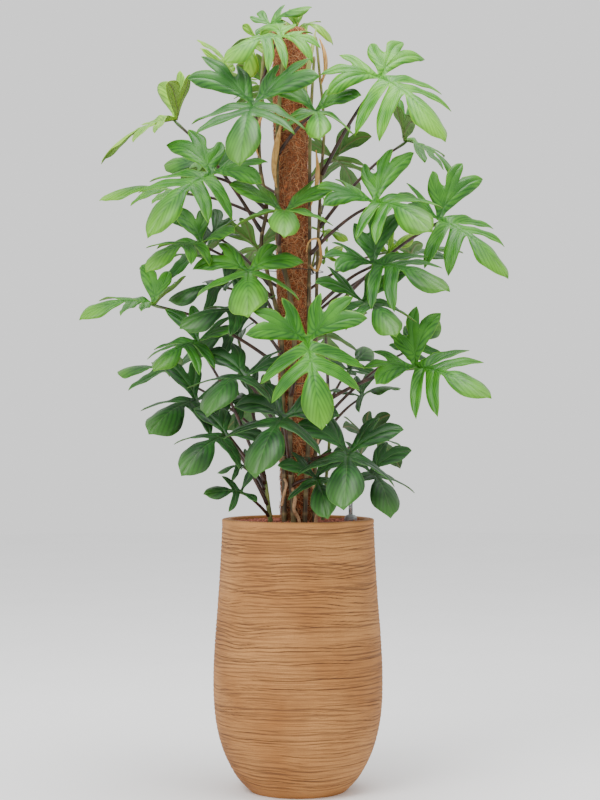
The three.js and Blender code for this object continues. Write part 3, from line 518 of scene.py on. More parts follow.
def root_skin():
    """Fat tan roots with a corky skin."""
    made = Finish("root_skin", 0.75)
    grain = made.mottle(240, 4)
    patch = made.ranged(made.mottle(45, 2), 0.35, 0.65, 0, 0.5)
    shade = made.plus(made.ranged(grain, 0.3, 0.7, 0, 0.5), patch)
    return made.done(made.blended(shade, (148, 104, 70), (206, 168, 128)), grain, 0.0006)


def granule_skin():
    """Broken fired clay, reddish brown, each granule a little different."""
    made = Finish("granule_skin", 0.9)
    grain = made.mottle(900, 3)
    colour = made.blended(made.mark("tint"), (128, 58, 44), (206, 118, 96))
    colour = made.blended(made.ranged(grain, 0.4, 0.7, 0, 0.4), colour, (206, 158, 136))
    return made.done(colour, grain, 0.0006)


def coir_mat():
    """The matted ground of the coir pole."""
    made = Finish("coir_mat", 0.95)
    weave = made.math("MAXIMUM", made.mottle((260, 260, 90), 4, 1.5), made.mottle((90, 90, 320), 4, 1.5))
    colour = made.blended(made.ranged(weave, 0.42, 0.72), (60, 27, 12), (216, 126, 76))
    return made.done(colour, weave, 0.0018)


def coir_strand():
    """Single coir fibres, orange brown, from dark to straw."""
    made = Finish("coir_strand", 0.85)
    grain = made.mottle(500, 2)
    colour = made.blended(made.mark("tint"), (126, 62, 34), (250, 192, 138))
    colour = made.blended(made.ranged(grain, 0.4, 0.7, 0, 0.4), colour, (84, 46, 30))
    return made.done(colour, grain, 0.0003)


# Finishes of the planter and the gauge

def fired_clay():
    """Warm tan clay, hair-scratched, with painted shade in the combed grooves."""
    made = Finish("fired_clay", 0.8)
    speck = made.mottle(420, 3)
    body = made.blended(made.ranged(made.mottle(6, 3), 0.35, 0.65), (154, 100, 45), (184, 130, 72))
    body = made.blended(made.ranged(speck, 0.35, 0.65, 0, 0.3), body, (138, 88, 42))
    scratch = made.eased(made.mottle((9, 9, 560), 3, 0.2), 0.5, 0.72, 0, 0.5)
    scratch = made.times(scratch, made.mark("worked"))
    body = made.blended(scratch, body, (118, 70, 32))
    # Painted shade: the clay darkens in the combed grooves, the deeper the darker.
    body = made.blended(made.ranged(made.mark("groove"), 0.12, 0.85, 0, 0.95), body, (70, 36, 12))
    return made.done(body, made.plus(made.times(scratch, -1.0), made.times(speck, 0.25)), 0.0008)


def clear_plastic():
    """The gauge's clear tube, a little scuffed."""
    made = Finish("clear_plastic", 0.12, Transmission_Weight=0.85, IOR=1.46)
    scuff = made.mottle((200, 200, 30), 3)
    made.tree.links.new(made.ranged(scuff, 0.35, 0.7, 0.08, 0.25), made.shader.inputs["Roughness"])
    return made.done(made.blended(scuff, (226, 232, 230), (250, 252, 252)), scuff, 0.0001)


def moulded_plastic(name, dark, light, roughness):
    """Plain moulded plastic with a faint grain."""
    made = Finish(name, roughness)
    cloud = made.ranged(made.mottle(60, 2), 0.35, 0.65)
    return made.done(made.blended(cloud, dark, light), made.mottle(700, 3), 0.00015)


UPPER = {tone: leaf_upper(tone) for tone in TONES}
UNDER = {tone: leaf_under(tone) for tone in TONES}
PETIOLE = petiole_skin()
OLD_STEM = stem_skin("old_stem", (58, 42, 28), (118, 106, 62), (168, 140, 96))
GREEN_STEM = stem_skin("green_stem", (78, 92, 44), (140, 156, 78), (176, 164, 108))
ROOT = root_skin()
SHEATH_COLOURS = {"dry": ((168, 112, 52), (230, 186, 112)), "fresh": ((120, 146, 60), (190, 204, 110))}
SHEATH = {kind: grained(kind + "_sheath", 0.6, ((420, 420, 30), 3), (0.3, 0.7), *colours, 0.0005)
          for kind, colours in SHEATH_COLOURS.items()}


# Meshes

def unit(vector):
    return vector / max(np.linalg.norm(vector), 1e-12)


def placed(place):
    """A point read off the front elevation, moved out along the line of sight to its depth."""
    x, depth, height = place
    spread = (SIGHT_DISTANCE + depth) / SIGHT_DISTANCE
    return np.array([x * spread, depth, SIGHT_HEIGHT + (height - SIGHT_HEIGHT) * spread])


def spline(places, steps, before=None):
    """An even run of points on a smooth curve through some places, with steps in each stretch of it."""
    places = [np.asarray(place, float) for place in places]
    first = 2 * places[0] - places[1] if before is None else np.asarray(before, float)
    line = [first, *places, 2 * places[-1] - places[-2]]
    points = []
    for a, b, c, d in zip(line, line[1:], line[2:], line[3:]):
        early, here, late = (max(np.linalg.norm(q - p), 1e-9) ** 0.5 for p, q in ((a, b), (b, c), (c, d)))
        leave = ((b - a) / early - (c - a) / (early + here) + (c - b) / here) * here
        reach = ((c - b) / here - (d - b) / (here + late) + (d - c) / late) * here
        for step in range(steps):
            t = step / steps
            points.append(b + leave * t + (3 * (c - b) - 2 * leave - reach) * t ** 2
                          + (2 * (b - c) + leave + reach) * t ** 3)
    points.append(places[-1])
    return np.array(points)


def travelled(points):
    """How far along a line each of its points lies."""
    return np.concatenate([[0], np.cumsum(np.linalg.norm(np.diff(points, axis=0), axis=1))])


def resampled(points, shares):
    """The points at some shares of a line's length."""
    lengths = travelled(points)
    wanted = np.asarray(shares) * lengths[-1]
    return np.stack([np.interp(wanted, lengths, part) for part in points.T], axis=1)


def even(points, count):
    return resampled(points, np.linspace(0, 1, count))


class Surface:
    """Gathers the faces of one piece, with their finishes and marks, and makes the piece."""

    MARKS = ("rib", "margin", "reach", "along", "scar", "worked")

    def __init__(self, name):
        self.name = name
        self.places = []
        self.faces = []
        self.finishes = []
        self.uvs = []
        self.marks = {mark: [] for mark in self.MARKS}

    def add(self, places, faces, finish, uvs=None, **marks):
        """Adds points with their marks, and faces on them."""
        first = len(self.places)
        self.places.extend(np.asarray(places, float).tolist())
        for mark in self.MARKS:
            self.marks[mark].extend(np.broadcast_to(marks.get(mark, 0.0), len(places)).tolist())
        self.cover(first, faces, finish, uvs)
        return first

    def cover(self, first, faces, finish, uvs=None):
        """Adds faces on points that are there, counted from the first."""
        self.faces.extend([tuple(first + corner for corner in face) for face in faces])
        self.finishes.extend([finish] * len(faces))
        for index, face in enumerate(faces):
            self.uvs.extend(uvs[index] if uvs else [(0.0, 0.0)] * len(face))

    def piece(self):
        """The gathered faces as an object at the origin."""
        mesh = bpy.data.meshes.new(self.name)
        mesh.from_pydata(self.places, [], self.faces)
        materials = list(dict.fromkeys(self.finishes))
        for material in materials:
            mesh.materials.append(material)
        mesh.polygons.foreach_set("material_index", [materials.index(finish) for finish in self.finishes])
        mesh.polygons.foreach_set("use_smooth", [True] * len(self.faces))
        for mark, values in self.marks.items():
            if any(values):
                mesh.attributes.new(mark, "FLOAT", "POINT").data.foreach_set("value", values)
        mesh.uv_layers.new(name="veins").data.foreach_set("uv", np.array(self.uvs, np.float32).ravel())
        made = bpy.data.objects.new(self.name, mesh)
        bpy.context.scene.collection.objects.link(made)
        return made


def settled(piece, node):
    """Ties a finished piece to the frame, in the place of its plain node."""
    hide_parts(node)
    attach(piece, "root")


# A direction that no path sets out in, from which a sweep takes its first side.
OFF_PATH = (0.31, 0.9, 0.29)


def swept(path, sections):
    """A closed sweep: one loop of points across each point of the path, carried along without twist."""
    directions = [unit(direction) for direction in np.gradient(path, axis=0)]
    side = unit(np.cross(directions[0], OFF_PATH))
    places = []
    for centre, direction, section in zip(path, directions, sections):
        side = unit(side - direction * np.dot(side, direction))
        other = np.cross(direction, side)
        places.extend(centre + side * u + other * v for u, v in section)
    count = len(sections[0])
    faces = []
    for ring in range(len(path) - 1):
        for corner in range(count):
            a = ring * count + corner
            b = ring * count + (corner + 1) % count
            faces.append((a, b, b + count, a + count))
    faces.append(tuple(range(count - 1, -1, -1)))
    faces.append(tuple(range((len(path) - 1) * count, len(path) * count)))
    return np.array(places), faces


def circle(radius, sides):
    """The corners of a regular polygon."""
    turns = np.arange(sides) * math.tau / sides
    return [(radius * math.cos(turn), radius * math.sin(turn)) for turn in turns]


# How far a limb is drawn in at its ends.
LIMB_END = 0.7


def limb(surface, path, radii, sides, finish, scars=0.0):
    """A round tapering limb, drawn in at both ends."""
    radii = np.array(radii, float)
    radii[[0, -1]] *= LIMB_END
    places, faces = swept(path, [circle(radius, sides) for radius in radii])
    along = np.repeat(np.linspace(0, 1, len(path)), sides)
    scar = np.repeat(np.broadcast_to(scars, len(path)), sides)
    surface.add(places, faces, finish, along=along, scar=scar)


def turned(surface, profile, segments, finish, place=(0.0, 0.0), worked=None):
    """A turned body. Its profile of (radius, height) runs from the axis to the axis, or closes on itself."""
    rings = []
    places = []
    for radius, height in profile:
        if radius < 1e-6:
            rings.append([len(places)] * segments)
            places.append((*place, height))
        else:
            rings.append([len(places) + i for i in range(segments)])
            places.extend((place[0] + u, place[1] + v, height) for u, v in circle(radius, segments))
    if rings[0][0] != rings[0][1]:
        rings.append(rings[0])
    faces = []
    for low, high in zip(rings, rings[1:]):
        for i in range(segments):
            j = (i + 1) % segments
            face = [low[i], low[j], high[j], high[i]]
            faces.append(tuple(corner for k, corner in enumerate(face) if corner != face[k - 1]))
    marks = {}
    if worked is not None:
        marks["worked"] = np.concatenate([[value] * len(set(ring)) for ring, value in zip(rings, worked)])
    surface.add(places, faces, finish, **marks)


# Geometry node trees

class Shaping(Nodes):
    """A geometry tree in the making, with a named input for each of its sizes and for its seed."""

    def __init__(self, name, sizes):
        tree = bpy.data.node_groups.new(name, "GeometryNodeTree")
        tree.interface.new_socket(name="Geometry", in_out="INPUT", socket_type="NodeSocketGeometry")
        for label, size in sizes.items():
            kind = "NodeSocketInt" if isinstance(size, int) else "NodeSocketFloat"
            tree.interface.new_socket(name=label, in_out="INPUT", socket_type=kind)
        tree.interface.new_socket(name="Geometry", in_out="OUTPUT", socket_type="NodeSocketGeometry")
        super().__init__(tree, "GeometryNodeInputPosition", 0)
        self.sizes = sizes
        self.given = tree.nodes.new("NodeGroupInput").outputs
        self.result = tree.nodes.new("NodeGroupOutput").inputs["Geometry"]

    def random(self, low, high, seed):
        """A random number or vector for each point."""
        kind, socket = ("FLOAT_VECTOR", 0) if isinstance(low, tuple) else ("FLOAT", 1)
        ends = {2 * socket: low, 2 * socket + 1: high, "Seed": seed}
        return self.node("FunctionNodeRandomValue", ends, data_type=kind).outputs[socket]

    def geometry(self, kind, inputs=None, **settings):
        """The first result of a new geometry node."""
        return self.out("GeometryNode" + kind, inputs, **settings)

    def marked(self, geometry, name, value, domain="POINT"):
        """The geometry with a number stored on it under a name."""
        return self.geometry("StoreNamedAttribute", {"Geometry": geometry, "Name": name, "Value": value},
                             data_type="FLOAT", domain=domain)

    def scattered(self, where, density):
        """Points laid apart by the spacing, where a condition holds."""
        return self.node("GeometryNodeDistributePointsOnFaces",
                         {"Mesh": self.given["Geometry"], "Selection": where,
                          "Distance Min": self.given["Spacing"], "Density Max": density,
                          "Seed": self.given["Seed"]}, distribute_method="POISSON").outputs

    def cover(self, points, shape, turn, size, tint_seed, skin):
        """Puts a shape on each point, in a tint of its own, and joins them all to the geometry given."""
        laid = self.geometry("InstanceOnPoints",
                             {"Points": points, "Instance": shape, "Rotation": turn, "Scale": size})
        laid = self.marked(laid, "tint", self.random(0.0, 1.0, tint_seed), "INSTANCE")
        laid = self.geometry("RealizeInstances", {"Geometry": laid})
        laid = self.geometry("SetShadeSmooth", {"Geometry": laid, "Shade Smooth": True})
        laid = self.geometry("SetMaterial", {"Geometry": laid, "Material": skin})
        both = self.node("GeometryNodeJoinGeometry")
        for joined in (laid, self.given["Geometry"]):
            self.tree.links.new(joined, both.inputs[0])
        self.tree.links.new(both.outputs[0], self.result)

    def shape(self, piece):
        """Runs the tree on a piece and keeps the result as the piece's own mesh."""
        modifier = piece.modifiers.new(self.tree.name, "NODES")
        modifier.node_group = self.tree
        for socket in self.tree.interface.items_tree:
            if socket.in_out == "INPUT" and socket.name in self.sizes:
                modifier[socket.identifier] = self.sizes[socket.name]
        seen = piece.evaluated_get(bpy.context.evaluated_depsgraph_get())
        mesh = bpy.data.meshes.new_from_object(seen)
        piece.modifiers.remove(modifier)
        plain = piece.data
        piece.data = mesh
        bpy.data.meshes.remove(plain)
        return piece


# The planter

PLANTER_SEGMENTS = 200
BELLY_ROWS = 460
# How deep and how far apart the grooves are, and how far one stroke of the comb runs round the belly.
GROOVE_DEPTH = 0.0021
GROOVE_PITCH = 0.0102
GROOVE_RUN = 0.34
# How quickly the force of a stroke changes from groove to groove, and the noise where it starts and is full.
STROKE_RATE = 0.8
STROKE_START, STROKE_FULL = 0.38, 0.66
# The three sets of grooves: share of the pitch, how fast and how many turns they wander, how narrow their
# lines are, how faint a stroke can be, and share of the depth.
COMBS = [
    (1.0, 2.9, 6.0, -0.3, 0.3, 0.66),
    (0.66, 3.4, 9.0, 0.5, 0.15, 1.0),
    (0.37, 3.7, 12.0, 0.2, 0.0, 0.5),
]
# The plain bands at the foot and under the rim, and how far the grooves take to fade into them.
PLAIN_FOOT, FOOT_FADE = 0.004, 0.02
PLAIN_RIM, RIM_FADE = 0.006, 0.005
FOOT_EDGE = 0.004
FLOOR_ROUNDING = 0.01


def comb_grooves(piece):
    """Combs uneven grooves round the belly: broad ones, with sharper and finer lines between them."""
    made = Shaping("combed_grooves", {"Depth": GROOVE_DEPTH, "Pitch": GROOVE_PITCH, "Run": GROOVE_RUN})
    height = made.part(made.place, 2)
    per_run = made.math("DIVIDE", 1.0, made.given["Run"])
    groove = 0.0
    for pitch_share, wander, turns, narrow, faint, depth_share in COMBS:
        pitch = made.times(made.given["Pitch"], pitch_share)
        drift = made.mottle((wander, wander, wander * 2), 2)
        turn = made.plus(made.math("DIVIDE", height, pitch), made.times(drift, turns))
        wave = made.math("COSINE", made.times(turn, math.tau))
        across = made.math("DIVIDE", STROKE_RATE, pitch)
        stroke = made.out("ShaderNodeCombineXYZ", {0: per_run, 1: per_run, 2: across})
        force = made.ranged(made.mottle(stroke, 1), STROKE_START, STROKE_FULL, faint, 1.0)
        line = made.times(made.ranged(wave, narrow, 1.0), force)
        groove = made.math("MAXIMUM", groove, made.times(line, depth_share))
    worked = made.geometry("InputNamedAttribute", {"Name": "worked"}, data_type="FLOAT")
    groove = made.times(groove, worked)
    # The grooves' depth, kept as a mark for the painted shade that the clay puts in them.
    marked = made.marked(made.given["Geometry"], "groove", groove)
    sunk = made.times(groove, made.times(made.given["Depth"], -1.0))
    outward = made.geometry("InputNormal")
    inward = made.out("ShaderNodeVectorMath", {0: outward, "Scale": sunk}, operation="SCALE")
    cut = made.geometry("SetPosition", {"Geometry": marked, "Offset": inward})
    made.tree.links.new(cut, made.result)
    return made.shape(piece)


def inside_radius(belly, height):
    """The radius inside the planter at a height."""
    return float(np.interp(height, belly[:, 1], belly[:, 0])) - PLANTER_WALL


def make_planter():
    """The shell, turned from the middle of its foot round to the middle of its floor."""
    belly = even(spline(PLANTER_BELLY, 12), BELLY_ROWS)
    top = PLANTER_HEIGHT - RIM_ROUNDING
    inner = RIM_RADIUS - PLANTER_WALL
    rounding = [(RIM_ROUNDING * math.sin(a), RIM_ROUNDING * math.cos(a)) for a in np.radians((90, 60, 30, 0))]
    rim = [(RIM_RADIUS - RIM_ROUNDING + u, top + v) for u, v in rounding]
    rim += [(inner + RIM_ROUNDING - u, top + v) for u, v in rounding[::-1]]
    foot = [(0, 0), (FOOT_RADIUS * 0.5, 0), (FOOT_RADIUS - FOOT_EDGE, 0)]
    wall = [(inner, INSIDE_UPRIGHT)] + [(inside_radius(belly, height), height) for height in INSIDE_HEIGHTS]
    floor = [(inside_radius(belly, PLANTER_FLOOR) - FLOOR_ROUNDING, PLANTER_FLOOR), (0, PLANTER_FLOOR)]
    profile = [*foot, *map(tuple, belly), *rim, *wall, *floor]
    rise = belly[:, 1]
    fade = np.clip((rise - PLAIN_FOOT) / FOOT_FADE, 0, 1)
    fade = fade * np.clip((PLANTER_HEIGHT - PLAIN_RIM - rise) / RIM_FADE, 0, 1)
    worked = np.zeros(len(profile))
    worked[len(foot):len(foot) + len(belly)] = fade
    surface = Surface("clay_planter")
    turned(surface, profile, PLANTER_SEGMENTS, fired_clay(), worked=worked)
    settled(comb_grooves(surface.piece()), "planter")


# The granules on top of the fill

GRANULE_SIZE = 0.0062
GRANULE_SPACING = 0.0039
# The most granules on a square metre, and the smallest and largest, as shares of the size.
GRANULE_CROWD = 400000.0
GRANULE_SMALL, GRANULE_LARGE = (0.7, 0.6, 0.55), (1.3, 1.15, 1.0)
# How far granules reach into the pole's fibres, and how far they sink or rise on the bed.
POLE_OVERLAP = 0.004
GRANULE_SINK, GRANULE_RISE = (0, 0, -0.0012), (0, 0, 0.0016)
# No turn and a full turn about each axis, in radians, and how level a face is that counts as facing up.
UNTURNED, FULL_TURNS = (0, 0, 0), (6.28, 6.28, 6.28)
FACING_UP = 0.6
# The shaded bed under the granules: its gap to the wall, how much lower it is, and how it is heaped.
BED_GAP = 0.0004
BED_DROP = 0.0005
BED_RELIEF = 0.0022
BED_MIDDLE = 0.012
# The heaps: how close the broad and the fine ones are each way, and how high the fine ones are beside them.
BROAD_HEAPS, FINE_HEAPS = (190, 230), (410, 370)
FINE_SHARE = 0.6


def strew_granules(piece):
    """Strews granules over the bed's top, clear of the pole."""
    made = Shaping("strewn_granules", {"Granule size": GRANULE_SIZE, "Spacing": GRANULE_SPACING,
                                       "Pole radius": POLE_RADIUS - POLE_OVERLAP, "Seed": 3})
    facing_up = made.math("GREATER_THAN", made.part(made.geometry("InputNormal"), 2), FACING_UP)
    points = made.scattered(facing_up, GRANULE_CROWD)
    from_axis = made.node("ShaderNodeVectorMath", {0: made.stretched(made.place, (1, 1, 0))},
                          operation="LENGTH").outputs["Value"]
    in_pole = made.math("LESS_THAN", from_axis, made.given["Pole radius"])
    kept = made.geometry("DeleteGeometry", {"Geometry": points[0], "Selection": in_pole}, domain="POINT")
    heap = made.random(GRANULE_SINK, GRANULE_RISE, 5)
    heaped = made.geometry("SetPosition", {"Geometry": kept, "Offset": heap})
    radius = made.times(made.given["Granule size"], 0.5)
    stone = made.geometry("MeshIcoSphere", {"Radius": radius, "Subdivisions": 1})
    turn = made.random(UNTURNED, FULL_TURNS, 11)
    size = made.random(GRANULE_SMALL, GRANULE_LARGE, 17)
    made.cover(heaped, stone, turn, size, 23, granule_skin())
    return made.shape(piece)


def make_granules():
    """A heaped bed, painted dark as the shade between the granules, with loose granules all over it."""
    radius = RIM_RADIUS - PLANTER_WALL - BED_GAP
    level = GRANULE_TOP - BED_DROP
    profile = [(0, GRANULE_BOTTOM), (radius, GRANULE_BOTTOM)]
    profile += [(r, level) for r in np.linspace(radius, BED_MIDDLE, 16)] + [(0, level)]
    surface = Surface("clay_granules")
    # The bed's colours are painted shade: the dark gaps between the granules.
    bed = grained("granule_bed", 0.95, (300, 3), (0, 1), (40, 22, 18), (92, 54, 42), 0.001)
    turned(surface, profile, 48, bed)
    for place in surface.places:
        x, y, z = place
        if z > GRANULE_BOTTOM:
            broad = math.sin(x * BROAD_HEAPS[0]) * math.sin(y * BROAD_HEAPS[1] + 1)
            fine = math.sin(x * FINE_HEAPS[0] + y * FINE_HEAPS[1])
            place[2] = z + BED_RELIEF * (broad + FINE_SHARE * fine)
    settled(strew_granules(surface.piece()), "granule_layer")


# The coir pole

STRAND_LENGTH = 0.034
STRAND_RADIUS = 0.00038
STRAND_SPACING = 0.0053
# How far a strand's ends dip into the mat, and how far its middle bows out and sideways.
STRAND_DIP = -0.0012
STRAND_BOW = 0.0042
STRAND_BEND = 0.45
# How far a strand tilts off the mat either way, and turns on it, in radians.
SPIN_LOW, SPIN_HIGH = (-0.12, -0.12, 0), (0.12, 0.12, 6.28)
# The most strands on a square metre, and the smallest and largest, as shares of length, bend and bow.
STRAND_CROWD = 90000.0
STRAND_SMALL, STRAND_LARGE = (0.5, 0.4, 0.7), (1.25, 2.2, 1.25)
# The mat under the strands: how far it lies inside the pole's radius, its lumps with the height and number of
# each kind, and its rounded crown.
MAT_DEPTH = 0.0016
MAT_LUMPS = [(0.0006, 44, 0), (0.0005, 103, 1)]
CROWN_START = POLE_TOP - 0.012
CROWN_RISE = 0.0115
CROWN_FLAT = POLE_RADIUS - 0.013
CROWN_ROUND = 0.011
CROWN_ANGLES = (20, 40, 60, 75)


def lay_strands(piece):
    """Lays short bent fibres all over the pole, close to its face and in every direction."""
    made = Shaping("laid_strands", {"Strand length": STRAND_LENGTH, "Strand radius": STRAND_RADIUS,
                                    "Spacing": STRAND_SPACING, "Seed": 8})
    in_sight = made.math("GREATER_THAN", made.part(made.place, 2), GRANULE_BOTTOM)
    points = made.scattered(in_sight, STRAND_CROWD)
    half = made.times(made.given["Strand length"], 0.5)
    start = made.out("ShaderNodeCombineXYZ", {0: made.times(half, -1.0), 2: STRAND_DIP})
    middle = made.out("ShaderNodeCombineXYZ", {1: made.times(half, STRAND_BEND), 2: STRAND_BOW})
    end = made.out("ShaderNodeCombineXYZ", {0: half, 2: STRAND_DIP})
    line = made.geometry("CurveQuadraticBezier",
                         {"Resolution": 3, "Start": start, "Middle": middle, "End": end})
    section = made.geometry("CurvePrimitiveCircle", {"Resolution": 3, "Radius": made.given["Strand radius"]})
    strand = made.geometry("CurveToMesh", {"Curve": line, "Profile Curve": section, "Fill Caps": True})
    spin = made.out("FunctionNodeEulerToRotation", {0: made.random(SPIN_LOW, SPIN_HIGH, 31)})
    turn = made.out("FunctionNodeRotateRotation", {"Rotation": points["Rotation"], "Rotate By": spin},
                    rotation_space="LOCAL")
    size = made.random(STRAND_SMALL, STRAND_LARGE, 37)
    made.cover(points[0], strand, turn, size, 41, coir_strand())
    return made.shape(piece)


def pole_x(height):
    """The pole leans a little, from the rim up."""
    return POLE_LEAN * (height - PLANTER_HEIGHT) / (POLE_TOP - PLANTER_HEIGHT)


def make_pole():
    """A lumpy matted ground with loose fibres laid over it."""
    heights = np.linspace(POLE_BOTTOM, CROWN_START, 150)
    path = [(pole_x(height), 0, height) for height in heights]
    radii = POLE_RADIUS - MAT_DEPTH
    for size, rate, start in MAT_LUMPS:
        radii = radii + size * np.sin(heights * rate + start)
    radii = list(radii)
    for angle in np.radians(CROWN_ANGLES):
        path.append((pole_x(POLE_TOP), 0, CROWN_START + CROWN_RISE * math.sin(angle)))
        radii.append(CROWN_FLAT + CROWN_ROUND * math.cos(angle))
    surface = Surface("coir_pole")
    places, faces = swept(np.array(path), [circle(radius, 64) for radius in radii])
    surface.add(places, faces, coir_mat())
    settled(lay_strands(surface.piece()), "coir_sleeve")


# The stems, with their roots and sheaths

# The length of one row of faces on a stem, and how much thinner it is than the solid one.
STEM_STEP = 0.006
STEM_SHRINK = 0.0002
# The distance between two old leaf scars, how far a scar stands out, and how sharp and pale it is.
INTERNODE = 0.084
SCAR_SWELL = 0.1
SCAR_SHARPNESS = 24
SCAR_SHADE = 0.45
# The lumps of a root: how high each kind is and how close together.
ROOT_LUMPS = [(0.1, 23), (0.06, 51)]
# A sheath: the half width of its tip, where on a wave its width starts and how much of the wave it takes, how
# slim it is, how far it reaches round, in degrees, its inside beside its outside, and its twist.
SHEATH_TIP = 0.0006
SHEATH_START, SHEATH_SPAN = 0.1, 0.84
SHEATH_SLIMNESS = 1.3
SHEATH_SPREAD = 115
SHEATH_INSIDE = 0.78
SHEATH_TWIST = 1.4


def stem_line(name):
    """A stem's centre line, evenly spaced, and the radius at each point of it."""
    path, (foot, top) = STEMS[name]
    if name != "side":
        path = [(path[0][0], path[0][1], STEM_FOOT), *path]
    line = spline([placed(place) for place in path], 14)
    return even(line, len(line)), np.linspace(foot, top, len(line))


def stem_at(name, height):
    """The centre and radius of a stem at a height."""
    line, radii = stem_line(name)
    index = min(int(np.searchsorted(line[:, 2], height)), len(line) - 1)
    return line[index], radii[index]


def make_stem(surface, name, finish):
    """A stem with a swollen pale ring at each old leaf."""
    line, radii = stem_line(name)
    length = travelled(line)[-1]
    count = max(int(length / STEM_STEP), 12)
    rings = np.cos(np.linspace(0, length, count) * math.tau / INTERNODE) ** SCAR_SHARPNESS
    radii = np.linspace(radii[0], radii[-1], count) * (1 + SCAR_SWELL * rings) - STEM_SHRINK
    limb(surface, even(line, count), radii, 12, finish, scars=SCAR_SHADE * rings)


def routed(path, count):
    """A smooth line through some places, in even steps, and how far along it each point is, from 0 to 1."""
    return even(spline([placed(place) for place in path], 10), count), np.linspace(0, 1, count)


def make_root(surface, path, radius):
    """An aerial root with a lumpy skin."""
    line, share = routed(path, 34)
    swell = 1
    for size, rate in ROOT_LUMPS:
        swell = swell + size * np.sin(share * rate)
    limb(surface, line, radius * swell, 12, ROOT)


def make_sheath(surface, path, width, finish):
    """A sheath: a thin crescent in section, widest in its middle, pointed and curled at its tip."""
    line, share = routed(path, 30)
    wave = np.sin(math.pi * (SHEATH_START + SHEATH_SPAN * share))
    widths = SHEATH_TIP + width * wave ** SHEATH_SLIMNESS
    spread = np.radians(np.linspace(-SHEATH_SPREAD, SHEATH_SPREAD, 9))
    sections = []
    for half, turn in zip(widths, share * SHEATH_TWIST):
        outside = [(half, a + turn) for a in spread]
        inside = [(half * SHEATH_INSIDE, a + turn) for a in spread[::-1]]
        sections.append([(radius * math.cos(a), radius * math.sin(a)) for radius, a in outside + inside])
    surface.add(*swept(line, sections), finish)


def make_climber(name):
    """A climbing stem without leaves, with the roots and sheaths that it carries."""
    surface = Surface("stem_" + name)
    make_stem(surface, name, OLD_STEM)
    for stem, path, radius in ROOTS:
        if stem == name:
            make_root(surface, path, radius)
    for stem, kind, width, path in SHEATHS:
        if stem == name:
            make_sheath(surface, path, width, SHEATH[kind])
    settled(surface.piece(), "climber_" + name)


# The flat blades

def lobe_lines(lobe):
    """A lobe's curved rib, and the points that its front and back edges pass."""
    start = np.array(REAR_RIB if lobe.root == "rear" else (MIDRIB[lobe.root], 0), float)
    tip = np.array(lobe.tip, float)
    along = unit(tip - start)
    across = np.array([along[1], -along[0]])
    belly = start + (tip - start) * LOBE_BELLY - across * LOBE_SICKLE
    rib = spline([start, belly, tip], 24)
    shoulder = resampled(rib, [LOBE_SHOULDER])[0]
    front, back = ([belly + side * lobe.half, shoulder + side * lobe.half * SHOULDER_WIDTH, tip]
                   for side in (across, -across))
    return start, rib, front, back


def leg(a, b, rows):
    """The points of a straight stretch, without its last."""
    a, b = np.asarray(a, float), np.asarray(b, float)
    return [a + (b - a) * i / rows for i in range(rows)]


def edge(notch, passing, before, used):
    """The points of a free edge from a notch to a tip, which fill the rows that are left."""
    return even(spline([notch, *passing], 16, before=before), LOBE_ROWS - used + 1)


def half_patches(form):
    """Each half of each lobe on one side: its rib and the line that bounds it, row by row."""
    rows = np.arange(LOBE_ROWS + 1) / LOBE_ROWS
    lobes = FORMS[form].lobes
    lines = [lobe_lines(lobe) for lobe in lobes]
    hub = np.zeros(2)
    root = np.array([MIDRIB[3], 0.0])
    notch = np.array(FORMS[form].waist, float)
    end = [np.array(point, float) for point in (*FORMS[form].end, (1, 0))]
    end_rib = resampled(np.array([root, end[-1]]), rows ** END_CROWDING)
    bound = leg(root, notch, WEB_ROWS)
    patches = [(end_rib, np.array([*bound, *edge(notch, end, lines[0][2][0], WEB_ROWS)]))]
    before = end[0]
    for index, (lobe, (start, rib, front, back)) in enumerate(zip(lobes, lines)):
        rib = resampled(rib, rows ** SIDE_CROWDING)
        bound = [] if np.allclose(start, root) else leg(start, root, SEAM_ROWS)
        bound += leg(root, notch, WEB_ROWS)
        patches.append((rib, np.array([*bound, *edge(notch, front, before, len(bound))])))
        before = back[0]
        notch = np.array(lobe.notch, float)
        last = index == len(lobes) - 1
        at_hub = last or lobe.root != "rear" and lobes[index + 1].root == "rear"
        root = hub if at_hub else start
        bound = (leg(start, hub, SEAM_ROWS) if at_hub else []) + leg(root, notch, WEB_ROWS)
        after = back[0] * (1, -1) if last else lines[index + 1][2][0]
        patches.append((rib, np.array([*bound, *edge(notch, back, after, len(bound))])))
    return patches


def nearest(points, line):
    """The distance from each point to a set of line stretches."""
    start, end = line[:, 0], line[:, 1]
    run = end - start
    square = np.maximum((run ** 2).sum(1), 1e-12)
    share = ((points[:, None] - start) * run).sum(2) / square
    spot = start + np.clip(share, 0, 1)[..., None] * run
    return np.linalg.norm(points[:, None] - spot, axis=2).min(1)


def open_edges(faces):
    """The edges that only one face uses, in the order of its corners."""
    rim = {}
    for face in faces:
        for a, b in zip(face, face[1:] + face[:1]):
            if (b, a) in rim:
                del rim[b, a]
            else:
                rim[a, b] = True
    return list(rim)


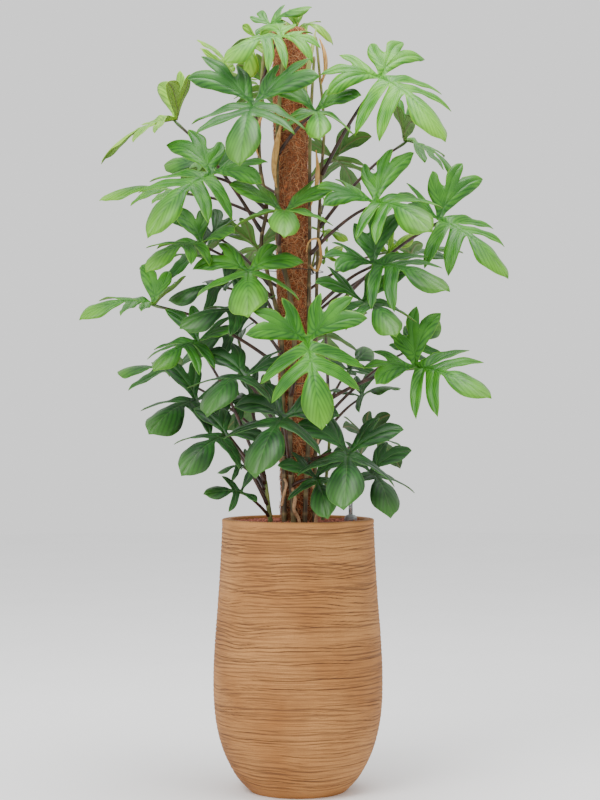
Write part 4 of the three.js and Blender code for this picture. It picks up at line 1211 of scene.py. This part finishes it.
def flat_blade(form):
    """The flat blade of a form: points, faces with their places along the veins, open edges, and how far each
    point is from the nearest rib and from the edge."""
    keys = {}
    points = []
    faces = []
    uvs = []
    ribs = [[(0, 0), (1, 0)]]

    def known(point):
        key = (round(point[0], 6), round(point[1], 6))
        if key not in keys:
            keys[key] = len(points)
            points.append(point)
        return keys[key]

    middle = LOBE_ROWS // 2
    for rib, bound in half_patches(form):
        reach = np.linalg.norm(np.diff(rib, axis=0), axis=1).sum()
        station = np.linspace(0, reach, LOBE_ROWS + 1)
        width = np.linalg.norm(bound - rib, axis=1)
        grid = rib[:, None] * (1 - ACROSS[None, :, None]) + bound[:, None] * ACROSS[None, :, None]
        for mirror in (1, -1):
            flip = np.array([1, mirror])
            ribs.extend(zip(rib[:-1] * flip, rib[1:] * flip))
            number = [[known(point * flip) for point in row] for row in grid]
            upturned = np.cross(rib[-1] - rib[0], bound[middle] - rib[middle]) * mirror > 0
            for i in range(LOBE_ROWS):
                for j in range(len(ACROSS) - 1):
                    corners = [(i, j), (i + 1, j), (i + 1, j + 1), (i, j + 1)]
                    face = [number[a][b] for a, b in corners]
                    kept = [k for k in range(4) if face[k] != face[k - 1]]
                    if len(set(face[k] for k in kept)) < 3:
                        continue
                    kept = kept[::-1] if upturned else kept
                    faces.append([face[k] for k in kept])
                    uvs.append([(station[corners[k][0]], ACROSS[corners[k][1]] * width[corners[k][0]])
                                for k in kept])
    ribs.extend([[(0, 0), REAR_RIB], [(0, 0), (REAR_RIB[0], -REAR_RIB[1])]])
    points = np.array(points)
    rim = open_edges(faces)
    border = np.array([[points[a], points[b]] for a, b in rim])
    return points, faces, uvs, rim, nearest(points, np.array(ribs, float)), nearest(points, border)


BLADES = {form: flat_blade(form) for form in FORMS}

# The leaves

# The lobes' relief, in lengths of the midrib: the reach of the fold beside a rib, the swell between ribs,
# the sunken line on a rib and its width, and the ruffle at the edge and how far in it reaches.
FOLD_REACH = 0.05
SWELL = 0.05
RIB_DEPTH = 0.003
RIB_WIDTH = 0.012
RUFFLE = 0.006
RUFFLE_REACH = 0.03
# The ruffle's two waves: how close along the midrib and across it, and how much they shift from leaf to leaf.
RUFFLE_WAVES = [(26, 9, 1), (-8, 29, 2)]
# The ridge that a rib makes on the under side, and how far from the hub it runs out, in midribs.
RIDGE_HEIGHT = 0.0014
RIDGE_WIDTH = 0.0018
RIDGE_END = 1.15
# How strongly the waves of a leaf hang on the place of its hub, so that no two leaves wave alike.
VARIETY = 100
# Where the front of a blade turns into its rear wings, and how far behind the hub the waves are centred.
REAR_START, REAR_FULL = -0.2, 0.05
WAVE_CENTRE = 0.1
# The petiole: its least radius and how it grows with the blade, where under the midrib it ends and how far
# under it, and how much and how far along its foot and the joint at the blade swell.
PETIOLE_RADIUS = 0.0025
PETIOLE_GROWTH = 0.006
PETIOLE_DROP = 0.0012
JOINT_PLACE = 0.3
FOOT_SWELL, FOOT_LENGTH = 0.5, 0.05
JOINT_SWELL, JOINT_MIDDLE, JOINT_LENGTH = 0.28, 0.95, 0.035
# Its thickness at the foot and what it loses by the blade, and where its foot sits in the stem's radius.
FOOT_WIDTH, WIDTH_LOSS = 1.25, 0.45
FOOT_SEAT = 0.4
# The two places that bend it: the share of the way, and of the rise.
PETIOLE_BENDS = [(0.3, 0.8), (0.68, 0.9)]


def smooth_step(value, low, high):
    share = np.clip((value - low) / (high - low), 0, 1)
    return share * share * (3 - 2 * share)


def blade_height(s, t, row):
    """The height of the bent blade over its flat one, in lengths of the midrib."""
    phase = (row.hub[0] + row.hub[2]) * VARIETY
    along = np.where(s > 0, 4 * row.arch * s * (1 - s), -row.lift * s - row.curl * s * s)
    rear_share = smooth_step(-s, REAR_START, REAR_FULL)
    across = (row.fold + (row.wing - row.fold) * rear_share) * np.abs(t) - row.curl * t * t
    wave = np.sin(FLUTTER_TURNS * np.arctan2(t, s + WAVE_CENTRE) + phase)
    return along + across + FLUTTER * (s * s + t * t) * wave


def blade_relief(s, t, rib, margin, row):
    """What the fine blade adds: lobes folded along sunken ribs, a swell between them, and ruffled edges."""
    phase = (row.hub[0] - row.hub[2]) * VARIETY
    fold = RIB_FOLD * rib / (1 + rib / FOLD_REACH) - EDGE_DROOP * rib ** 2
    swell = SWELL * rib * margin / np.maximum(rib + margin, 1e-4)
    ruffle = sum(np.sin(along * s + across * t + shift * phase) for along, across, shift in RUFFLE_WAVES)
    return (fold + swell - RIB_DEPTH * np.exp(-(rib / RIB_WIDTH) ** 2)
            + RUFFLE * np.exp(-margin / RUFFLE_REACH) * ruffle)


def blade_frame(row):
    """The hub, the directions of the midrib, off the blade and across it, and the midrib's length."""
    hub = placed(row.hub)
    midrib = placed(row.tip) - hub
    length = np.linalg.norm(midrib)
    midrib = midrib / length
    facing = np.array(row.facing, float)
    normal = unit(facing - midrib * np.dot(facing, midrib))
    return hub, midrib, normal, np.cross(midrib, normal), length


def make_blade(surface, row):
    """A blade of two bent faces, joined round the rim by a narrow wall."""
    points, faces, uvs, rim, rib, margin = BLADES[row.form]
    hub, midrib, normal, across, length = blade_frame(row)
    s, t = points.T
    height = blade_height(s, t, row) + blade_relief(s, t, rib, margin, row)
    upper = hub + length * (np.outer(s, midrib) + np.outer(t, across) + np.outer(height, normal))
    slopes = np.zeros_like(upper)
    for face in faces:
        a, b, c = upper[face[0]], upper[face[1]], upper[face[2]]
        slopes[face] += np.cross(b - a, c - a)
    turn = np.sign((slopes @ normal).sum())
    slopes = slopes / np.linalg.norm(slopes, axis=1)[:, None] * turn
    reach = np.hypot(s, t)
    ridge = RIDGE_HEIGHT * np.exp(-(rib * length / RIDGE_WIDTH) ** 2) * np.clip(RIDGE_END - reach, 0, 1)
    lower = upper - slopes * (BLADE_THICKNESS + ridge)[:, None]
    count = len(points)
    laid = [[(u * length, v * length) for u, v in uv] for uv in uvs]
    if turn < 0:
        faces = [face[::-1] for face in faces]
        laid = [uv[::-1] for uv in laid]
        rim = [(b, a) for a, b in rim]
    marks = {name: np.tile(values, 2)
             for name, values in (("rib", rib * length), ("margin", margin * length), ("reach", reach))}
    under = [[corner + count for corner in face[::-1]] for face in faces]
    walls = [(b, a, a + count, b + count) for a, b in rim]
    first = surface.add(np.concatenate([upper, lower]), faces, UPPER[row.tone], laid, **marks)
    surface.cover(first, under, UNDER[row.tone], [uv[::-1] for uv in laid])
    surface.cover(first, walls, UPPER[row.tone])


def make_petiole(surface, row):
    """The leaf stalk, from inside its stem to under the hub, with a swollen joint at the blade."""
    hub, midrib, normal, _, length = blade_frame(row)
    point, radius = stem_at(row.stem, row.start)
    joint = MIDRIB[1] * JOINT_PLACE
    height = blade_height(np.array([joint]), np.array([0.0]), row)[0]
    end = hub + midrib * joint * length + normal * (height * length - PETIOLE_DROP)
    start = point + unit((end - point) * (1, 1, 0)) * radius * FOOT_SEAT
    chord = end - start
    up = np.array([0, 0, row.rise * np.linalg.norm(chord)])
    bends = [start + chord * way + up * rise for way, rise in PETIOLE_BENDS]
    line = even(spline([start, *bends, end], 10), 26)
    share = np.linspace(0, 1, len(line))
    swell = FOOT_WIDTH - WIDTH_LOSS * share + FOOT_SWELL * np.exp(-(share / FOOT_LENGTH) ** 2)
    swell += JOINT_SWELL * np.exp(-((share - JOINT_MIDDLE) / JOINT_LENGTH) ** 2)
    limb(surface, line, (PETIOLE_RADIUS + length * PETIOLE_GROWTH) * swell, 10, PETIOLE)


def make_leaf(surface, row):
    """One leaf: its blade and its petiole."""
    make_blade(surface, row)
    make_petiole(surface, row)


def make_leaves():
    for number, row in enumerate(LEAVES, 1):
        node = f"leaf_{number:02d}"
        surface = Surface("fine_" + node)
        make_leaf(surface, row)
        settled(surface.piece(), node)


def make_shoots():
    for node, (stem, rows) in SHOOTS.items():
        surface = Surface("fine_" + node)
        make_stem(surface, stem, GREEN_STEM)
        for row in rows:
            make_leaf(surface, row)
        settled(surface.piece(), node)


# The water gauge

# The rounded upper edge of the tube: (inwards, downwards). Then how thick its closed end is.
TUBE_ROUNDING = [(0, 0.0018), (0.0004, 0.0005), (0.0015, 0)]
TUBE_CAP = 0.0025
# The play between the collar and the tube, the collar's lower edge, and its dome.
COLLAR_PLAY = 0.00035
COLLAR_EDGE = 0.0006
DOME_HEIGHT = 0.009
# The indicator's rod, and its head: (radius, height over its lower end).
SIGNAL_STEM = 0.0013
SIGNAL_SHAPE = [(SIGNAL_STEM, 0), (0.003, 0.0015), (0.003, 0.009), (0.0014, 0.011), (0, 0.011)]


def gauge_piece(name, profile, segments, finish, node):
    """A turned piece of the gauge, on its axis."""
    surface = Surface(name)
    turned(surface, profile, segments, finish, GAUGE_PLACE)
    settled(surface.piece(), node)


def make_gauge():
    """The closed clear tube, the domed collar that it stands in, and the indicator inside it."""
    inner = GAUGE_RADIUS - GAUGE_WALL
    rounding = [(GAUGE_RADIUS - inwards, GAUGE_TOP - down) for inwards, down in TUBE_ROUNDING]
    tube = [(0, GAUGE_TOP - TUBE_CAP), (inner, GAUGE_TOP - TUBE_CAP), (inner, GAUGE_BOTTOM),
            (GAUGE_RADIUS, GAUGE_BOTTOM), *rounding, (0, GAUGE_TOP)]
    gauge_piece("gauge_sleeve", tube, 36, clear_plastic(), "gauge_tube")

    bore = GAUGE_RADIUS + COLLAR_PLAY
    top = COLLAR_LOW + COLLAR_HEIGHT
    dome = [(bore + (COLLAR_RADIUS - bore) * math.cos(a), top - DOME_HEIGHT * (1 - math.sin(a)))
            for a in np.radians(np.linspace(0, 84, 10))]
    collar = [(bore, COLLAR_LOW), (COLLAR_RADIUS - COLLAR_EDGE, COLLAR_LOW),
              (COLLAR_RADIUS, COLLAR_LOW + COLLAR_EDGE), *dome, (bore, top)]
    grey = moulded_plastic("grey_collar", (128, 132, 138), (170, 174, 178), 0.45)
    gauge_piece("gauge_foot", collar, 48, grey, "gauge_collar")

    signal = [(0, SIGNAL_FOOT), (SIGNAL_STEM, SIGNAL_FOOT)]
    signal += [(radius, SIGNAL_HEAD + height) for radius, height in SIGNAL_SHAPE]
    red = moulded_plastic("red_signal", (184, 62, 34), (222, 92, 52), 0.35)
    gauge_piece("gauge_signal", signal, 24, red, "gauge_float")


# The ties

# The twist of the wire's two ends: how far it stands out and hangs, how far it turns, in radians, its radius,
# and how far its tails part. The gap is where the loop opens into the twist.
TWIST_OUT = 0.008
TWIST_DROP = 0.012
TWIST_TURN = 14
TWIST_RADIUS = 0.0016
TAIL_SPREAD = 0.009
LOOP_GAP = 0.04
TWIST_START = 0.001
UP = np.array([0, 0, 1])


def make_ties():
    """Coated wire looped round the pole and its stems, twisted together, with two free tails."""
    coats = {"black": moulded_plastic("black_coat", (22, 22, 20), (44, 44, 42), 0.4),
             "green": moulded_plastic("green_coat", (24, 48, 28), (44, 76, 44), 0.4)}
    for name, coat, centre, (wide, deep), tilt, twist in TIES:
        twist = math.radians(twist)
        turns = twist + np.linspace(LOOP_GAP, math.tau - LOOP_GAP, 90)
        slope = math.tan(math.radians(tilt))
        loop = np.stack([centre[0] + wide * np.cos(turns), centre[1] + deep * np.sin(turns),
                         centre[2] - slope * wide * np.cos(turns)], axis=1)
        outward = unit(np.array([wide * math.cos(twist), deep * math.sin(twist), 0]))
        side = unit(np.cross(outward, UP))
        knot = (loop[0] + loop[-1]) / 2
        tails = []
        for sign in (1, -1):
            tail = []
            for r in np.linspace(0, 1, 24)[1:]:
                swing = side * math.cos(r * TWIST_TURN) + UP * math.sin(r * TWIST_TURN)
                middle = knot + outward * (TWIST_START + TWIST_OUT * r) + (0, 0, -TWIST_DROP * r)
                tail.append(middle + sign * TWIST_RADIUS * swing + sign * side * TAIL_SPREAD * r ** 3)
            tails.append(tail)
        line = np.concatenate([tails[0][::-1], loop, tails[1]])
        surface = Surface(name + "_wire")
        limb(surface, line, [TIE_RADIUS * WIRE_SHARE] * len(line), 8, coats[coat])
        settled(surface.piece(), name)


# The scene

FLOOR_RADIUS = 9
WORLD_STRENGTH = 1.15
# Each lamp: its place, how wide it is, and its power.
LAMPS = {"key": ((-2.0, -3.0, 3.8), 2.2, 150), "top": ((0.4, -0.4, 4.2), 2.2, 130)}
LIT_HEIGHT = 1.0
FLOOR_TONES = (244, 244, 244), (250, 250, 250)


def make_studio():
    """A pale floor and an even white surround, with two soft lamps aimed at the middle of the plant."""
    bpy.ops.mesh.primitive_circle_add(vertices=96, radius=FLOOR_RADIUS, fill_type="NGON")
    floor = bpy.context.object
    floor.name = "floor"
    made = Finish("studio_floor", 0.9)
    floor.data.materials.append(made.done(made.blended(made.mottle(2, 2), *FLOOR_TONES)))
    world = bpy.data.worlds.new("studio")
    bpy.context.scene.world = world
    world.use_nodes = True
    world.node_tree.nodes["Background"].inputs["Color"].default_value = (1, 1, 1, 1)
    world.node_tree.nodes["Background"].inputs["Strength"].default_value = WORLD_STRENGTH
    for name, (place, size, power) in LAMPS.items():
        lamp = bpy.data.lights.new(name, "AREA")
        lamp.size = size
        lamp.energy = power
        held = bpy.data.objects.new(name, lamp)
        held.location = place
        x, y, z = np.array([0, 0, LIT_HEIGHT]) - place
        held.rotation_euler = math.atan2(np.hypot(x, y), -z), 0, math.atan2(-x, y)
        bpy.context.scene.collection.objects.link(held)


def make_camera():
    """A camera on the line of sight, aimed at the middle of the picture."""
    camera = bpy.data.cameras.new("camera")
    camera.lens = LENS
    camera.sensor_width = SENSOR_WIDTH
    seat = bpy.data.objects.new("camera", camera)
    seat.location = (0, -SIGHT_DISTANCE, SIGHT_HEIGHT)
    turn = math.atan(PICTURE_CENTRE[0] / SIGHT_DISTANCE)
    rise = math.atan((PICTURE_CENTRE[1] - SIGHT_HEIGHT) / SIGHT_DISTANCE)
    seat.rotation_euler = (math.pi / 2 + rise, 0, -turn)
    bpy.context.scene.collection.objects.link(seat)
    bpy.context.scene.camera = seat


def finish_hidden_nodes():
    """The fill and the stake stay as the plain solids, in finishes of their own."""
    mix = grained("growing_mix", 0.95, (140, 5), (0.35, 0.7), (40, 28, 20), (104, 78, 56), 0.003)
    grain = ((300, 300, 8), 4, 0.6)
    timber = grained("sawn_timber", 0.8, grain, (0.35, 0.65), (136, 104, 70), (190, 158, 116), 0.0006)
    for node, finish in (("planting_medium", mix), ("pole_stake", timber)):
        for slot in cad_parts[node].material_slots:
            slot.material = finish


make_camera()
make_studio()
make_planter()
make_granules()
make_pole()
for climber in ("left", "front", "right", "outer"):
    make_climber(climber)
make_shoots()
make_leaves()
make_gauge()
make_ties()
finish_hidden_nodes()
